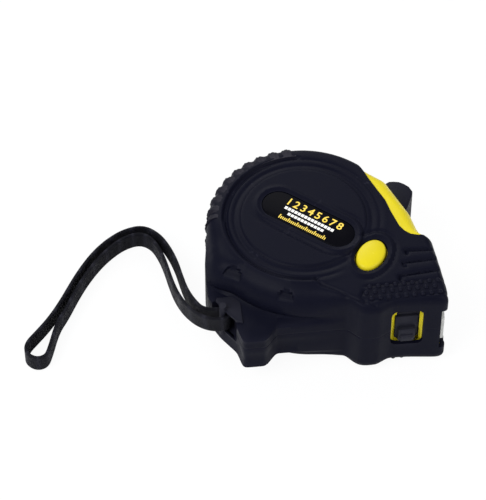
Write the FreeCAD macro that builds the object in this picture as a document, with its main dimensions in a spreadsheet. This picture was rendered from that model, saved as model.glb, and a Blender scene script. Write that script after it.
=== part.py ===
import FreeCAD, Part

import math
import os
import re

import Sketcher
from FreeCAD import Vector

# Pocket tape measure lying on its side, in millimetres. The reel axis is the Z axis, +X points
# to the mouth, +Y to the top of the case, and the round face that looks up is at the high Z end.
# The lower round face rests on the plane Z = 0.

SIZES = {
    # case outline, seen along the reel axis
    "total_thickness": 36.0,
    "disc_raise": 1.0,
    "disc_radius": 21.5,
    "round_radius": 32.5,
    "back_reach": 35.0,
    "front_reach": 44.7,
    "nose_reach": 42.6,
    "nose_top": 12.0,
    "floor_depth": 40.3,
    "foot_depth": 41.5,
    "recess_depth": 36.6,
    "slope_top_x": 31.0,
    "slope_top_y": 15.5,
    "slope_angle": -67.25,
    "slope_run": 16.8,
    # walls of the case
    "rubber": 1.8,
    "wall": 1.8,
    "shoulder": 5.0,
    "shoulder_angle": 38.0,
    "grip_seam": 0.1,
    # rubber tread over the round top and back
    "tread_radius": 34.0,
    "tread_inner": 28.0,
    "tread_face": 35.3,
    "tread_start": 88.0,
    "tread_span": 88.0,
    "tread_grooves": 11.0,
    "tread_groove_radius": 0.8,
    # reel
    "post_radius": 3.2,
    "post_foot_radius": 6.0,
    "post_foot_height": 2.0,
    "running_fit": 0.05,
    "blade_width": 19.0,
    "hub_radius": 19.0,
    "hub_wall": 1.8,
    "coil_radius": 26.0,
    "flange_radius": 26.5,
    "flange_wall": 0.8,
    "coil_gap": 0.3,
    "spring_width": 16.0,
    "spring_leaf": 0.3,
    "spring_turns": 9.0,
    # blade and hook
    "blade_low": 28.8,
    "blade_curve": 20.8,
    "blade_leaf": 0.3,
    "blade_chord": 18.6,
    "blade_start": -1.0,
    "blade_end": 42.3,
    "hook_wall": 1.0,
    "hook_leg": 39.3,
    "hook_plate": 11.0,
    "hook_plate_width": 13.0,
    "hook_float": 1.0,
    "hook_gap": 0.3,
    "rivet_radius": 0.9,
    "rivet_head": 1.6,
    "magnet_radius": 2.2,
    "bumper_reach": 42.4,
    # thumb lock on the slope
    "thumb_width": 15.0,
    "thumb_travel": 6.0,
    "stem_width": 4.0,
    "stem_start": 3.0,
    "stem_length": 4.0,
    "arm_x": 28.7,
    "arm_width": 2.2,
    "arm_low": 19.2,
    # bottom lock in the floor
    "window_x": 31.0,
    "lock_length": 8.0,
    "lock_width": 11.4,
    "lock_travel": 2.0,
    # oval button in the upper face
    "button_x": 20.9,
    "button_y": -18.6,
    "button_major": 6.7,
    "button_minor": 4.6,
    "button_angle": 57.0,
    "button_top": 36.6,
    # badge
    "label_x": 1.5,
    "label_y": -1.0,
    "label_length": 35.4,
    "label_width": 11.8,
    "label_angle": -38.8,
    "label_wall": 0.6,
    # screws and strap
    "boss_radius": 3.2,
    "screw_head": 2.2,
    "screw_shank": 1.2,
    "plug_radius": 3.25,
    "pin_radius": 1.2,
    "pin_x": -30.6,
    "pin_y": -27.6,
    "strap_width": 7.0,
    "strap_wall": 1.3,
    "fit": 0.3,
}

doc = FreeCAD.newDocument("TapeMeasure")
sheet = doc.addObject("Spreadsheet::Sheet", "Sizes")
for row, (word, value) in enumerate(SIZES.items(), start=1):
    sheet.set("A%d" % row, word)
    sheet.set("B%d" % row, repr(value))
    sheet.setAlias("B%d" % row, word)
doc.recompute()

SUBPARTS = {}


def ex(text):
    """Return an expression with every size name bound to its cell."""
    return re.sub(r"\b([a-z]+(?:_[a-z]+)*)\b",
                  lambda word: "Sizes." + word.group(1) if word.group(1) in SIZES else word.group(1),
                  str(text))


def number(text):
    """Return the value of an expression in the sizes."""
    return float(sheet.evalExpression(ex(text)))


def bind(thing, **expressions):
    """Bind properties, with a double underscore for each dot, to expressions in the sizes."""
    for prop, text in expressions.items():
        thing.setExpression(prop.replace("__", "."), ex(text))
    return thing


def place(thing, x=0, y=0, z=0, angle=0):
    """Place an object, turned about Z."""
    thing.Placement = FreeCAD.Placement(Vector(), FreeCAD.Rotation(Vector(0, 0, 1), 1.0))
    return bind(thing, Placement__Base__x=x, Placement__Base__y=y, Placement__Base__z=z,
                Placement__Rotation__Angle=angle)


def box(name, x, y, z, origin=(0, 0, 0), angle=0):
    """Make a box from ranges (low, high) along X, Y and Z, in a frame at origin turned by angle."""
    thing = doc.addObject("Part::Box", name)
    bind(thing, Length="(%s) - (%s)" % (x[1], x[0]), Width="(%s) - (%s)" % (y[1], y[0]),
         Height="(%s) - (%s)" % (z[1], z[0]))
    turn = "(%s)" % angle
    return place(thing,
                 "(%s) + (%s) * cos(%s) - (%s) * sin(%s)" % (origin[0], x[0], turn, y[0], turn),
                 "(%s) + (%s) * sin(%s) + (%s) * cos(%s)" % (origin[1], x[0], turn, y[0], turn),
                 "(%s) + (%s)" % (origin[2], z[0]), angle)


def cylinder(name, x, y, radius, z):
    """Make an upright cylinder with its Z range (low, high)."""
    thing = doc.addObject("Part::Cylinder", name)
    bind(thing, Radius=radius, Height="(%s) - (%s)" % (z[1], z[0]))
    return place(thing, x, y, z[0])


def lying_cylinder(name, x, y, z, radius, length, along):
    """Make a cylinder that starts at (x, y, z) and lies along Vector along."""
    thing = doc.addObject("Part::Cylinder", name)
    thing.Placement = FreeCAD.Placement(Vector(), FreeCAD.Rotation(Vector(0, 0, 1), along))
    return bind(thing, Radius=radius, Height=length, Placement__Base__x=x,
                Placement__Base__y=y, Placement__Base__z=z)


def cut(name, base, *tools):
    """Cut the tools out of the base."""
    thing = doc.addObject("Part::Cut", name)
    thing.Base = base
    thing.Tool = tools[0] if len(tools) == 1 else fuse(name + "_tools", *tools)
    return thing


def fuse(name, *shapes):
    """Join shapes into one."""
    thing = doc.addObject("Part::MultiFuse", name)
    thing.Shapes = list(shapes)
    thing.Refine = True
    return thing


def common(name, first, second):
    """Keep what two shapes share."""
    thing = doc.addObject("Part::Common", name)
    thing.Base = first
    thing.Tool = second
    return thing


def group(name, *shapes):
    """Keep shapes as separate solids of one sub-part."""
    thing = doc.addObject("Part::Compound", name)
    thing.Links = list(shapes)
    return thing


def extrude(name, profile, z):
    """Extrude a closed profile over the Z range (low, high)."""
    thing = doc.addObject("Part::Extrusion", name)
    thing.Base = profile
    thing.DirMode = "Custom"
    thing.Dir = Vector(0, 0, 1)
    thing.Solid = True
    bind(thing, LengthFwd="(%s) - (%s)" % (z[1], z[0]))
    return bind(thing, Placement__Base__z=z[0])


def polygon(sketch, vertices):
    """Draw a closed polygon whose corners are bound to pairs of expressions."""
    corners = [Vector(number(across), number(upward), 0) for across, upward in vertices]
    count = len(corners)
    for index in range(count):
        sketch.addGeometry(Part.LineSegment(corners[index], corners[(index + 1) % count]))
    for index in range(count):
        sketch.addConstraint(Sketcher.Constraint("Coincident", index, 2, (index + 1) % count, 1))
    for index, (across, upward) in enumerate(vertices):
        for kind, text in (("DistanceX", across), ("DistanceY", upward)):
            key = sketch.addConstraint(Sketcher.Constraint(kind, -1, 1, index, 1, number(text)))
            sketch.setExpression("Constraints[%d]" % key, ex(text))
    return sketch


def body_sketch(body, plane, vertices):
    """Add a polygon sketch on one of a body's origin planes."""
    sketch = body.newObject("Sketcher::SketchObject", body.Name + "_sketch")
    support = [item for item in body.Origin.OriginFeatures if item.Role == plane][0]
    sketch.AttachmentSupport = [(support, "")]
    sketch.MapMode = "FlatFace"
    return polygon(sketch, vertices)


def revolved(name, vertices):
    """Make a body by turning a half profile of (radius, height) corners about Z."""
    body = doc.addObject("PartDesign::Body", name)
    turned = body.newObject("PartDesign::Revolution", name + "_turn")
    turned.Profile = body_sketch(body, "XZ_Plane", vertices)
    turned.ReferenceAxis = (turned.Profile[0], ["V_Axis"])
    turned.Angle = 360
    return body


def padded(name, vertices, low, high, plane="XY_Plane"):
    """Make a body by padding a polygon between two heights over its plane."""
    body = doc.addObject("PartDesign::Body", name)
    sketch = body_sketch(body, plane, vertices)
    bind(sketch, AttachmentOffset__Base__z=low)
    pad = body.newObject("PartDesign::Pad", name + "_pad")
    pad.Profile = sketch
    bind(pad, Length="(%s) - (%s)" % (high, low))
    return body


def subpart(label, thing):
    """Name a finished sub-part."""
    thing.Label = label
    SUBPARTS[label] = thing
    return thing


# --- heights -------------------------------------------------------------------------------

MID = "total_thickness / 2"
FACE = "total_thickness - disc_raise"
SHELL_TOP = "total_thickness - disc_raise - rubber"
SHELL_CEILING = "total_thickness - disc_raise - rubber - wall"
SHELL_FLOOR = "disc_raise + rubber + wall"
BLADE_LOW_EDGE = "total_thickness / 2 - blade_width / 2"
BLADE_HIGH_EDGE = "total_thickness / 2 + blade_width / 2"
FLANGE_TOP = "total_thickness / 2 + blade_width / 2 + coil_gap + flange_wall"

# --- master outline ------------------------------------------------------------------------

SLOPE_END_X = "slope_top_x + slope_run * cos(slope_angle)"
SLOPE_END_Y = "slope_top_y + slope_run * sin(slope_angle)"

outline = polygon(doc.addObject("Sketcher::SketchObject", "outline"), [
    ("-round_radius * cos(30)", "round_radius * sin(30)"),
    ("-back_reach + 2", "3"),
    ("-back_reach", "-10"),
    ("-back_reach", "-recess_depth + 15.6"),
    ("-back_reach + 3.5", "-recess_depth + 8.6"),
    ("-back_reach + 8.5", "-recess_depth + 1.6"),
    ("-back_reach + 10", "-foot_depth"),
    ("-back_reach + 18.5", "-foot_depth"),
    ("-back_reach + 21", "-recess_depth"),
    ("window_x - 20", "-recess_depth"),
    ("window_x - 15.5", "-foot_depth"),
    ("window_x - 8.5", "-foot_depth"),
    ("window_x - 6.5", "-floor_depth"),
    ("front_reach", "-floor_depth"),
    ("front_reach", "-floor_depth + 6.3"),
    ("nose_reach", "-nose_top"),
    ("nose_reach - 2.1", "-nose_top + 0.5"),
    ("(nose_reach - 2.1) * 0.45 + (%s) * 0.55" % SLOPE_END_X,
     "(-nose_top + 0.5) * 0.55 + (%s) * 0.45" % SLOPE_END_Y),
    (SLOPE_END_X, SLOPE_END_Y),
    ("slope_top_x", "slope_top_y"),
    ("round_radius * cos(55)", "round_radius * sin(55)"),
])


def tapered(name, profile, z, upward, height):
    """Extrude a profile from z up or down, drawn in by the shoulder angle."""
    thing = doc.addObject("Part::Extrusion", name)
    thing.Base = profile
    thing.DirMode = "Custom"
    thing.Dir = Vector(0, 0, 1 if upward else -1)
    thing.Solid = True
    return bind(thing, LengthFwd=height, TaperAngle="-shoulder_angle", Placement__Base__z=z)


def rim_cone(name, radius, z, height, upward):
    """Make the round part's bevelled rim."""
    inner = "%s - (%s) * tan(shoulder_angle)" % (radius, height)
    thing = doc.addObject("Part::Cone", name)
    bind(thing, Radius1=radius if upward else inner, Radius2=inner if upward else radius,
         Height=height)
    return place(thing, 0, 0, z)


def housing(name, inset, bottom, top, shoulder):
    """Make the case volume, inset from the outline, with bevelled rims at both faces."""
    profile = doc.addObject("Part::Offset2D", name + "_profile")
    profile.Source = outline
    profile.Join = "Intersection"
    bind(profile, Value="-(%s) - 0.001" % inset)
    low = "%s + %s" % (bottom, shoulder)
    high = "%s - (%s)" % (top, shoulder)
    radius = "round_radius - (%s)" % inset
    return fuse(name, extrude(name + "_body", profile, (low, high)),
                tapered(name + "_upper_rim", profile, high, True, shoulder),
                tapered(name + "_lower_rim", profile, low, False, shoulder),
                cylinder(name + "_round", 0, 0, radius, (low, high)),
                rim_cone(name + "_upper_cone", radius, high, shoulder, True),
                rim_cone(name + "_lower_cone", radius, bottom, shoulder, False))


grip_volume = housing("grip_volume", "0", "disc_raise", FACE, "shoulder")
shell_volume = housing("shell_volume", "rubber", "disc_raise + rubber", SHELL_TOP,
                       "shoulder - rubber")
cavity = housing("cavity", "rubber + wall", SHELL_FLOOR, SHELL_CEILING, "shoulder - rubber - wall")

# --- openings that several pieces share ------------------------------------------------------

BEYOND = "front_reach + 6"
slope_zone = padded("slope_zone", [
    ("slope_top_x - 9.5", "slope_top_y + 8.8"),
    ("slope_top_x - 6.5", "slope_top_y"),
    ("slope_top_x - 2", "slope_top_y - 10.5"),
    ("slope_top_x - 0.7", "slope_top_y - 16"),
    ("slope_top_x + 1.2", "-nose_top + 5.2"),
    ("nose_reach - 7", "-nose_top + 1.2"),
    ("nose_reach - 2.1", "-nose_top + 0.4"),
    (BEYOND, "-nose_top + 0.4"),
    (BEYOND, "round_radius + 4"),
    ("slope_top_x - 9.5", "round_radius + 4"),
], "0", "total_thickness")
mouth = box("mouth", ("front_reach - 12", BEYOND), ("-blade_low - 1.2", "-blade_low + 3.4"),
            ("%s - 1" % BLADE_LOW_EDGE, "%s + 1" % BLADE_HIGH_EDGE))
notch = box("notch", ("bumper_reach", BEYOND), ("-foot_depth - 1", "-blade_low + 3.4"),
            ("%s - 0.6" % BLADE_LOW_EDGE, "%s + 0.6" % BLADE_HIGH_EDGE))


def window(name, margin):
    """Make the cutter for the floor window, wider than the lock button by a margin."""
    return box(name,
               ("window_x - lock_length / 2 - (%s)" % margin,
                "window_x + lock_length / 2 + (%s)" % margin),
               ("-foot_depth - 1", "-floor_depth + rubber + wall + 0.5"),
               ("%s - lock_width / 2 - (%s)" % (MID, margin),
                "%s + lock_width / 2 + (%s)" % (MID, margin)))


def strap_slot(name, margin):
    """Make the cutter for the strap's slot in the back corner."""
    return box(name, ("-back_reach - 2", "pin_x + pin_radius + strap_wall + 0.6"),
               ("pin_y - 8", "pin_y + 3.4"),
               ("%s - strap_width / 2 - (%s)" % (MID, margin),
                "%s + strap_width / 2 + (%s)" % (MID, margin)))


def oval(name, margin, z):
    """Make an oval prism about the side button's centre."""
    rim = doc.addObject("Part::Ellipse", name + "_rim")
    bind(rim, MajorRadius="button_major + (%s)" % margin, MinorRadius="button_minor + (%s)" % margin)
    place(rim, "button_x", "button_y", 0, "button_angle")
    return extrude(name, rim, z)


def pill(name, margin, z):
    """Make a pill-shaped prism about the badge's centre."""
    half = "(label_length - label_width) / 2"
    ends = [cylinder(name + end, "label_x %s %s * cos(label_angle)" % (sign, half),
                     "label_y %s %s * sin(label_angle)" % (sign, half),
                     "label_width / 2 + (%s)" % margin, z)
            for end, sign in (("_tail", "-"), ("_head", "+"))]
    bar = box(name + "_bar", ("-(%s)" % half, half),
              ("-label_width / 2 - (%s)" % margin, "label_width / 2 + (%s)" % margin), z,
              ("label_x", "label_y", "0"), "label_angle")
    return fuse(name, bar, *ends)


UPPER_SCREWS = [("-back_reach + 8", "-recess_depth + 15.1"), ("-10.5", "-recess_depth + 4.1")]
LOWER_SCREWS = [("window_x - 11.5", "-foot_depth + 7"),
                ("(round_radius - 2.2) * cos(36)", "(round_radius - 2.2) * sin(36)")]


def at_places(name, places, radius, z):
    """Make one cylinder at each place."""
    return [cylinder("%s_%d" % (name, index), x, y, radius, z)
            for index, (x, y) in enumerate(places, start=1)]


# --- tread bumper ----------------------------------------------------------------------------

tread_solid = revolved("tread_solid", [
    ("tread_inner", "total_thickness - tread_face"),
    ("tread_radius - shoulder", "total_thickness - tread_face"),
    ("tread_radius - shoulder * 0.35", "total_thickness - tread_face + shoulder * 0.35"),
    ("tread_radius", "total_thickness - tread_face + shoulder"),
    ("tread_radius", "tread_face - shoulder"),
    ("tread_radius - shoulder * 0.35", "tread_face - shoulder * 0.35"),
    ("tread_radius - shoulder", "tread_face"),
    ("tread_inner", "tread_face"),
])
tread_sector = doc.addObject("Part::Cylinder", "tread_sector")
bind(tread_sector, Radius="tread_radius + 5", Height="total_thickness", Angle="tread_span")
place(tread_sector, 0, 0, 0, "tread_start")
tread_block = cut("tread_block", common("tread_arc", tread_solid, tread_sector), shell_volume)
GROOVE_STEP = "tread_span / (tread_grooves + 1)"
tread_cutters = [
    cylinder("tread_groove_%d" % index,
             "(tread_radius + 0.2) * cos(tread_start + %d * %s)" % (index, GROOVE_STEP),
             "(tread_radius + 0.2) * sin(tread_start + %d * %s)" % (index, GROOVE_STEP),
             "tread_groove_radius", ("-1", "total_thickness + 1"))
    for index in range(1, int(SIZES["tread_grooves"]) + 1)
]
subpart("tread_bumper", cut("tread", tread_block, *tread_cutters))

# --- rubber grips ----------------------------------------------------------------------------

upper_half = box("upper_half", ("-90", "90"), ("-90", "90"),
                 ("%s + grip_seam / 2" % MID, "total_thickness + 20"))
lower_half = box("lower_half", ("-90", "90"), ("-90", "90"), ("-20", "%s - grip_seam / 2" % MID))
pin_bore = cylinder("pin_bore", "pin_x", "pin_y", "pin_radius",
                    ("%s - strap_width / 2 - 4" % MID, "%s + strap_width / 2 + 4" % MID))
discs = cylinder("discs", 0, 0, "disc_radius", ("0", "total_thickness"))
grip_blank = cut("grip_blank", fuse("grip_outer", grip_volume, discs), shell_volume, slope_zone,
                 mouth, notch, window("grip_window", "1.3"), strap_slot("grip_slot", "1"),
                 tread_block, pin_bore)
subpart("grip_upper", cut(
    "upper_grip", common("upper_grip_blank", grip_blank, upper_half),
    pill("label_recess", "fit / 3", ("total_thickness - 1", "total_thickness + 1")),
    oval("button_opening", "fit", ("%s - 2" % SHELL_TOP, "total_thickness + 2")),
    cylinder("centre_access", 0, 0, "screw_head + 0.6", ("%s - 1" % SHELL_TOP, "total_thickness")),
    *at_places("plug_hole", UPPER_SCREWS, "plug_radius + 0.05", (MID, "total_thickness + 1"))))
subpart("grip_lower", cut(
    "lower_grip", common("lower_grip_blank", grip_blank, lower_half),
    *at_places("driver_hole", LOWER_SCREWS, "screw_head + 0.6", ("-1", MID))))

plug_tools = fuse("plug_posts", *at_places("plug_post", UPPER_SCREWS, "plug_radius",
                                            (MID, "total_thickness + 1")))
subpart("screw_covers", cut("plugs", common("plug_blanks", grip_volume, plug_tools), shell_volume))

subpart("label_plate", pill("badge", "0", ("total_thickness - 1",
                                           "total_thickness - 1 + label_wall")))

# --- case shells -----------------------------------------------------------------------------

slope_bulge = common("slope_bulge", grip_volume, slope_zone)
lug_block = box("lug_block", ("-back_reach - 1", "pin_x + 6"), ("-recess_depth - 1", "pin_y + 5.4"),
                (SHELL_FLOOR, SHELL_CEILING))
lug = common("lug", lug_block, shell_volume)
hollow = cut("hollow", cavity, lug_block)
shells = cut("shells", fuse("shell_outer", shell_volume, slope_bulge), hollow,
             mouth, window("shell_window", "0.3"), strap_slot("shell_slot", "0.5"),
             box("nose_trim", ("bumper_reach", BEYOND), ("-foot_depth - 1", "-blade_low + 3.4"),
                 ("0", "total_thickness")),
             box("thumb_slot", ("stem_start - fit", "stem_start + stem_length + thumb_travel + fit"),
                 ("-rubber - wall - 2", "2"),
                 ("%s - stem_width / 2 - fit" % MID, "%s + stem_width / 2 + fit" % MID),
                 ("slope_top_x", "slope_top_y", "0"), "slope_angle"),
             pin_bore,
             box("bumper_seat", ("bumper_reach - 1", BEYOND), ("-blade_low - 7", "-blade_low - 2.5"),
                 ("%s - 7" % MID, "%s + 7" % MID)))

SCREW_SEAT = "total_thickness - disc_raise - rubber - wall - 4.4"
LOWER_SEAT = "disc_raise + rubber + wall + 4.4"
ALL_SCREWS = UPPER_SCREWS + LOWER_SCREWS
upper_bosses = fuse("upper_bosses", common("upper_boss_cut", fuse("upper_boss_posts", *at_places(
    "upper_boss", ALL_SCREWS, "boss_radius", (MID, SHELL_TOP))), shell_volume),
    cylinder("post_socket", 0, 0, "post_radius + 1.6", ("%s + 0.6" % FLANGE_TOP, SHELL_TOP)))
lower_bosses = common("lower_boss_cut", fuse("lower_boss_posts", *at_places(
    "lower_boss", ALL_SCREWS, "boss_radius", ("disc_raise + rubber", MID))), shell_volume)
subpart("case_shell_upper", cut(
    "upper_shell", fuse("upper_shell_blank", common("upper_shell_half", shells, upper_half),
                        common("upper_boss_half", upper_bosses, upper_half)),
    cylinder("centre_seat", 0, 0, "screw_head + 0.3", ("%s + 0.4" % SHELL_CEILING,
                                                       "total_thickness")),
    cylinder("centre_hole", 0, 0, "screw_shank + 0.2", (MID, "total_thickness")),
    oval("button_bore", "fit", ("%s - 6" % SHELL_CEILING, "total_thickness")),
    *(at_places("upper_seat", UPPER_SCREWS, "screw_head + 0.3", (SCREW_SEAT, "total_thickness"))
      + at_places("upper_clear", UPPER_SCREWS, "screw_shank + 0.2", ("0", "total_thickness"))
      + at_places("upper_thread", LOWER_SCREWS, "screw_shank", ("0", SCREW_SEAT)))))

# the button post stands beside the blade, outside the reel's flange
POST_REACH = "(flange_radius + 4.4) / sqrt(button_x * button_x + button_y * button_y)"
POST_X = "button_x * %s" % POST_REACH
POST_Y = "button_y * %s" % POST_REACH
POST_TOP = "%s - 4.6" % FLANGE_TOP
LEAF_RIB_X = "window_x - 7.5"
subpart("case_shell_lower", cut(
    "lower_shell", fuse("lower_shell_blank", common("lower_shell_half", shells, lower_half),
                        common("lower_boss_half", lower_bosses, lower_half),
                        cylinder("button_post", POST_X, POST_Y, "2.4",
                                 ("disc_raise + rubber + wall / 2", POST_TOP)),
                        box("leaf_rib", ("%s - 0.9" % LEAF_RIB_X, "%s + 0.9" % LEAF_RIB_X),
                            ("-floor_depth + rubber + wall / 2", "-floor_depth + rubber + wall + 2.7"),
                            ("disc_raise + rubber + wall / 2", "%s - grip_seam / 2" % MID)),
                        box("leaf_rib_end", ("%s - 0.9" % LEAF_RIB_X, "%s + 0.9" % LEAF_RIB_X),
                            ("-floor_depth + rubber + wall + fit / 3",
                             "-floor_depth + rubber + wall + 2.7"), ("%s - 1" % MID, "%s + 4" % MID))),
    *(at_places("lower_seat", LOWER_SCREWS, "screw_head + 0.3", ("-1", LOWER_SEAT))
      + at_places("lower_clear", LOWER_SCREWS, "screw_shank + 0.2", ("0", MID))
      + at_places("lower_thread", UPPER_SCREWS, "screw_shank", (LOWER_SEAT, MID)))))

# --- screws ----------------------------------------------------------------------------------


def screw(name, x, y, low_sign, seat, length):
    """Make a screw with its head on the seat; low_sign is - when its shank points down."""
    head = cylinder(name + "_head", x, y, "screw_head",
                    (seat, "%s + 1.3" % seat) if low_sign == "-" else ("%s - 1.3" % seat, seat))
    shank = cylinder(name + "_shank", x, y, "screw_shank",
                     ("%s - (%s)" % (seat, length), seat) if low_sign == "-"
                     else (seat, "%s + %s" % (seat, length)))
    recess = box(name + "_recess", ("-0.35", "0.35"), ("-1.4", "1.4"),
                 ("%s + 0.6" % seat, "%s + 2" % seat) if low_sign == "-"
                 else ("%s - 2" % seat, "%s - 0.6" % seat), (x, y, "0"))
    return cut(name, fuse(name + "_blank", head, shank), recess)


subpart("case_screws", group("screws", *(
    [screw("upper_screw_%d" % index, x, y, "-", SCREW_SEAT, "17")
     for index, (x, y) in enumerate(UPPER_SCREWS, start=1)]
    + [screw("lower_screw_%d" % index, x, y, "+", LOWER_SEAT, "15")
       for index, (x, y) in enumerate(LOWER_SCREWS, start=1)])))
subpart("centre_screw", screw("middle_screw", "0", "0", "-", "%s + 0.4" % SHELL_CEILING, "12"))

# --- reel ------------------------------------------------------------------------------------

POST_END = "%s + 0.6" % FLANGE_TOP
WEB_LOW = "%s - coil_gap - flange_wall" % BLADE_LOW_EDGE
subpart("centre_post", cut("post", revolved("post_turned", [
    ("0", SHELL_FLOOR),
    ("post_foot_radius", SHELL_FLOOR),
    ("post_foot_radius", "%s + post_foot_height" % SHELL_FLOOR),
    ("post_radius", "%s + post_foot_height" % SHELL_FLOOR),
    ("post_radius", POST_END),
    ("0", POST_END),
]), cylinder("post_thread", 0, 0, "screw_shank", (MID, "total_thickness"))))
subpart("reel_drum", revolved("drum", [
    ("post_radius + running_fit", WEB_LOW),
    ("flange_radius", WEB_LOW),
    ("flange_radius", "%s + flange_wall" % WEB_LOW),
    ("hub_radius", "%s + flange_wall" % WEB_LOW),
    ("hub_radius", "%s + coil_gap" % BLADE_HIGH_EDGE),
    ("hub_radius - hub_wall", "%s + coil_gap" % BLADE_HIGH_EDGE),
    ("hub_radius - hub_wall", "%s + flange_wall" % WEB_LOW),
    ("post_radius + 1.4", "%s + flange_wall" % WEB_LOW),
    ("post_radius + 1.4", "%s + flange_wall + 1" % WEB_LOW),
    ("post_radius + running_fit", "%s + flange_wall + 1" % WEB_LOW),
]))
subpart("reel_flange", revolved("flange", [
    ("post_radius + running_fit", "%s + coil_gap" % BLADE_HIGH_EDGE),
    ("flange_radius", "%s + coil_gap" % BLADE_HIGH_EDGE),
    ("flange_radius", FLANGE_TOP),
    ("post_radius + running_fit", FLANGE_TOP),
]))
subpart("blade_coil", revolved("coil", [
    ("hub_radius", BLADE_LOW_EDGE),
    ("coil_radius", BLADE_LOW_EDGE),
    ("coil_radius", BLADE_HIGH_EDGE),
    ("hub_radius", BLADE_HIGH_EDGE),
]))


def spiral_edges(first, step, turns, inset):
    """Return the half circles of a two-centre spiral, drawn inset from its middle line."""
    edges = []
    for half in range(2 * turns):
        reach = first + half * step / 2 + inset
        middle = 0.0 if half % 2 == 0 else step / 2
        side = 1 if half % 2 == 0 else -1
        edges.append(Part.Arc(Vector(middle + side * reach, 0, 0), Vector(middle, side * reach, 0),
                              Vector(middle - side * reach, 0, 0)).toShape())
    return edges


def power_spring():
    """Wind the flat spring between the post and the hub as a spiral of half circles."""
    leaf = number("spring_leaf")
    turns = int(number("spring_turns"))
    first = number("post_radius") + 0.8
    last = number("hub_radius - hub_wall") - 0.6
    step = (last - first) / turns
    inner = spiral_edges(first, step, turns, -leaf / 2)
    outer = spiral_edges(first, step, turns, leaf / 2)
    ends = [Part.LineSegment(inner[0].Vertexes[0].Point, outer[0].Vertexes[0].Point).toShape(),
            Part.LineSegment(inner[-1].Vertexes[-1].Point, outer[-1].Vertexes[-1].Point).toShape()]
    face = Part.Face(Part.Wire(Part.__sortEdges__(inner + outer + ends)))
    spring = doc.addObject("Part::Feature", "power_leaf")
    spring.Shape = face.extrude(Vector(0, 0, number("spring_width")))
    return place(spring, 0, 0, "%s - spring_width / 2" % MID)


subpart("power_spring", power_spring())

# --- blade and hook --------------------------------------------------------------------------


def arc_strip(name, x, outer, leaf, width):
    """Make a curved strip along X, hollow side up, as a slice of a tube."""
    across = Vector(1, 0, 0)
    length = "(%s) - (%s)" % (x[1], x[0])
    tube = cut(name + "_tube",
               lying_cylinder(name + "_outside", x[0], "-blade_low + blade_curve", MID, outer, length,
                              across),
               lying_cylinder(name + "_inside", x[0], "-blade_low + blade_curve", MID,
                              "(%s) - (%s)" % (outer, leaf), length, across))
    return common(name, tube, box(name + "_trim", (x[0], x[1]), ("-blade_low - 1", "-blade_low + 6"),
                                  ("%s - (%s) / 2" % (MID, width), "%s + (%s) / 2" % (MID, width))))


RIVETS = ["blade_end - 3", "blade_end - 7"]


def rivet_posts(name, radius, low, high):
    """Make one upright post along Y at each rivet."""
    return [lying_cylinder("%s_%d" % (name, index), x, low, MID, radius,
                           "(%s) - (%s)" % (high, low), Vector(0, 1, 0))
            for index, x in enumerate(RIVETS, start=1)]


PLATE_OUTER = "blade_curve - blade_leaf - 0.02"
HEAD_LOW = "-blade_low + blade_leaf + hook_wall + 0.15"
subpart("blade_strip", cut("strip", arc_strip("strip_blank", ("blade_start", "blade_end"),
                                              "blade_curve", "blade_leaf", "blade_chord"),
                           *rivet_posts("strip_hole", "rivet_radius", "-blade_low - 2",
                                        "-blade_low + 3")))
subpart("hook_rivets", group("rivets", *[
    fuse("rivet_%d" % index, *parts) for index, parts in enumerate(zip(
        rivet_posts("rivet_shank", "rivet_radius", "-blade_low - 0.6", "%s + 0.5" % HEAD_LOW),
        rivet_posts("rivet_foot", "rivet_head", "-blade_low - 0.6", "-blade_low"),
        rivet_posts("rivet_cap", "rivet_head", HEAD_LOW, "%s + 0.5" % HEAD_LOW)), start=1)]))
LEG_X = "blade_end + hook_gap"
LEG_HALF = "blade_width / 2"
hook_leg = padded("hook_leg_plate", [
    ("-hook_leg", "%s - %s + 4" % (MID, LEG_HALF)),
    ("-hook_leg + 4", "%s - %s" % (MID, LEG_HALF)),
    ("-blade_low + 1", "%s - %s" % (MID, LEG_HALF)),
    ("-blade_low + 1.6", "%s - %s + 2" % (MID, LEG_HALF)),
    ("-blade_low + 1.6", "%s + %s - 2" % (MID, LEG_HALF)),
    ("-blade_low + 1", "%s + %s" % (MID, LEG_HALF)),
    ("-hook_leg + 4", "%s + %s" % (MID, LEG_HALF)),
    ("-hook_leg", "%s + %s - 4" % (MID, LEG_HALF)),
], LEG_X, "%s + hook_wall" % LEG_X, "YZ_Plane")
hook_plate = arc_strip("hook_plate_arc", ("blade_end - hook_plate", "%s + hook_wall" % LEG_X),
                       PLATE_OUTER, "hook_wall", "hook_plate_width")
MAGNET_SIDES = ["%s - 4.4" % MID, "%s + 4.4" % MID]
MAGNET_Y = "-blade_low - 6"


def magnets(name, radius, low, high):
    """Make the pair of magnet discs, or their holes, along X."""
    return [lying_cylinder("%s_%d" % (name, index), low, MAGNET_Y, z, radius,
                           "(%s) - (%s)" % (high, low), Vector(1, 0, 0))
            for index, z in enumerate(MAGNET_SIDES, start=1)]


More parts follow.
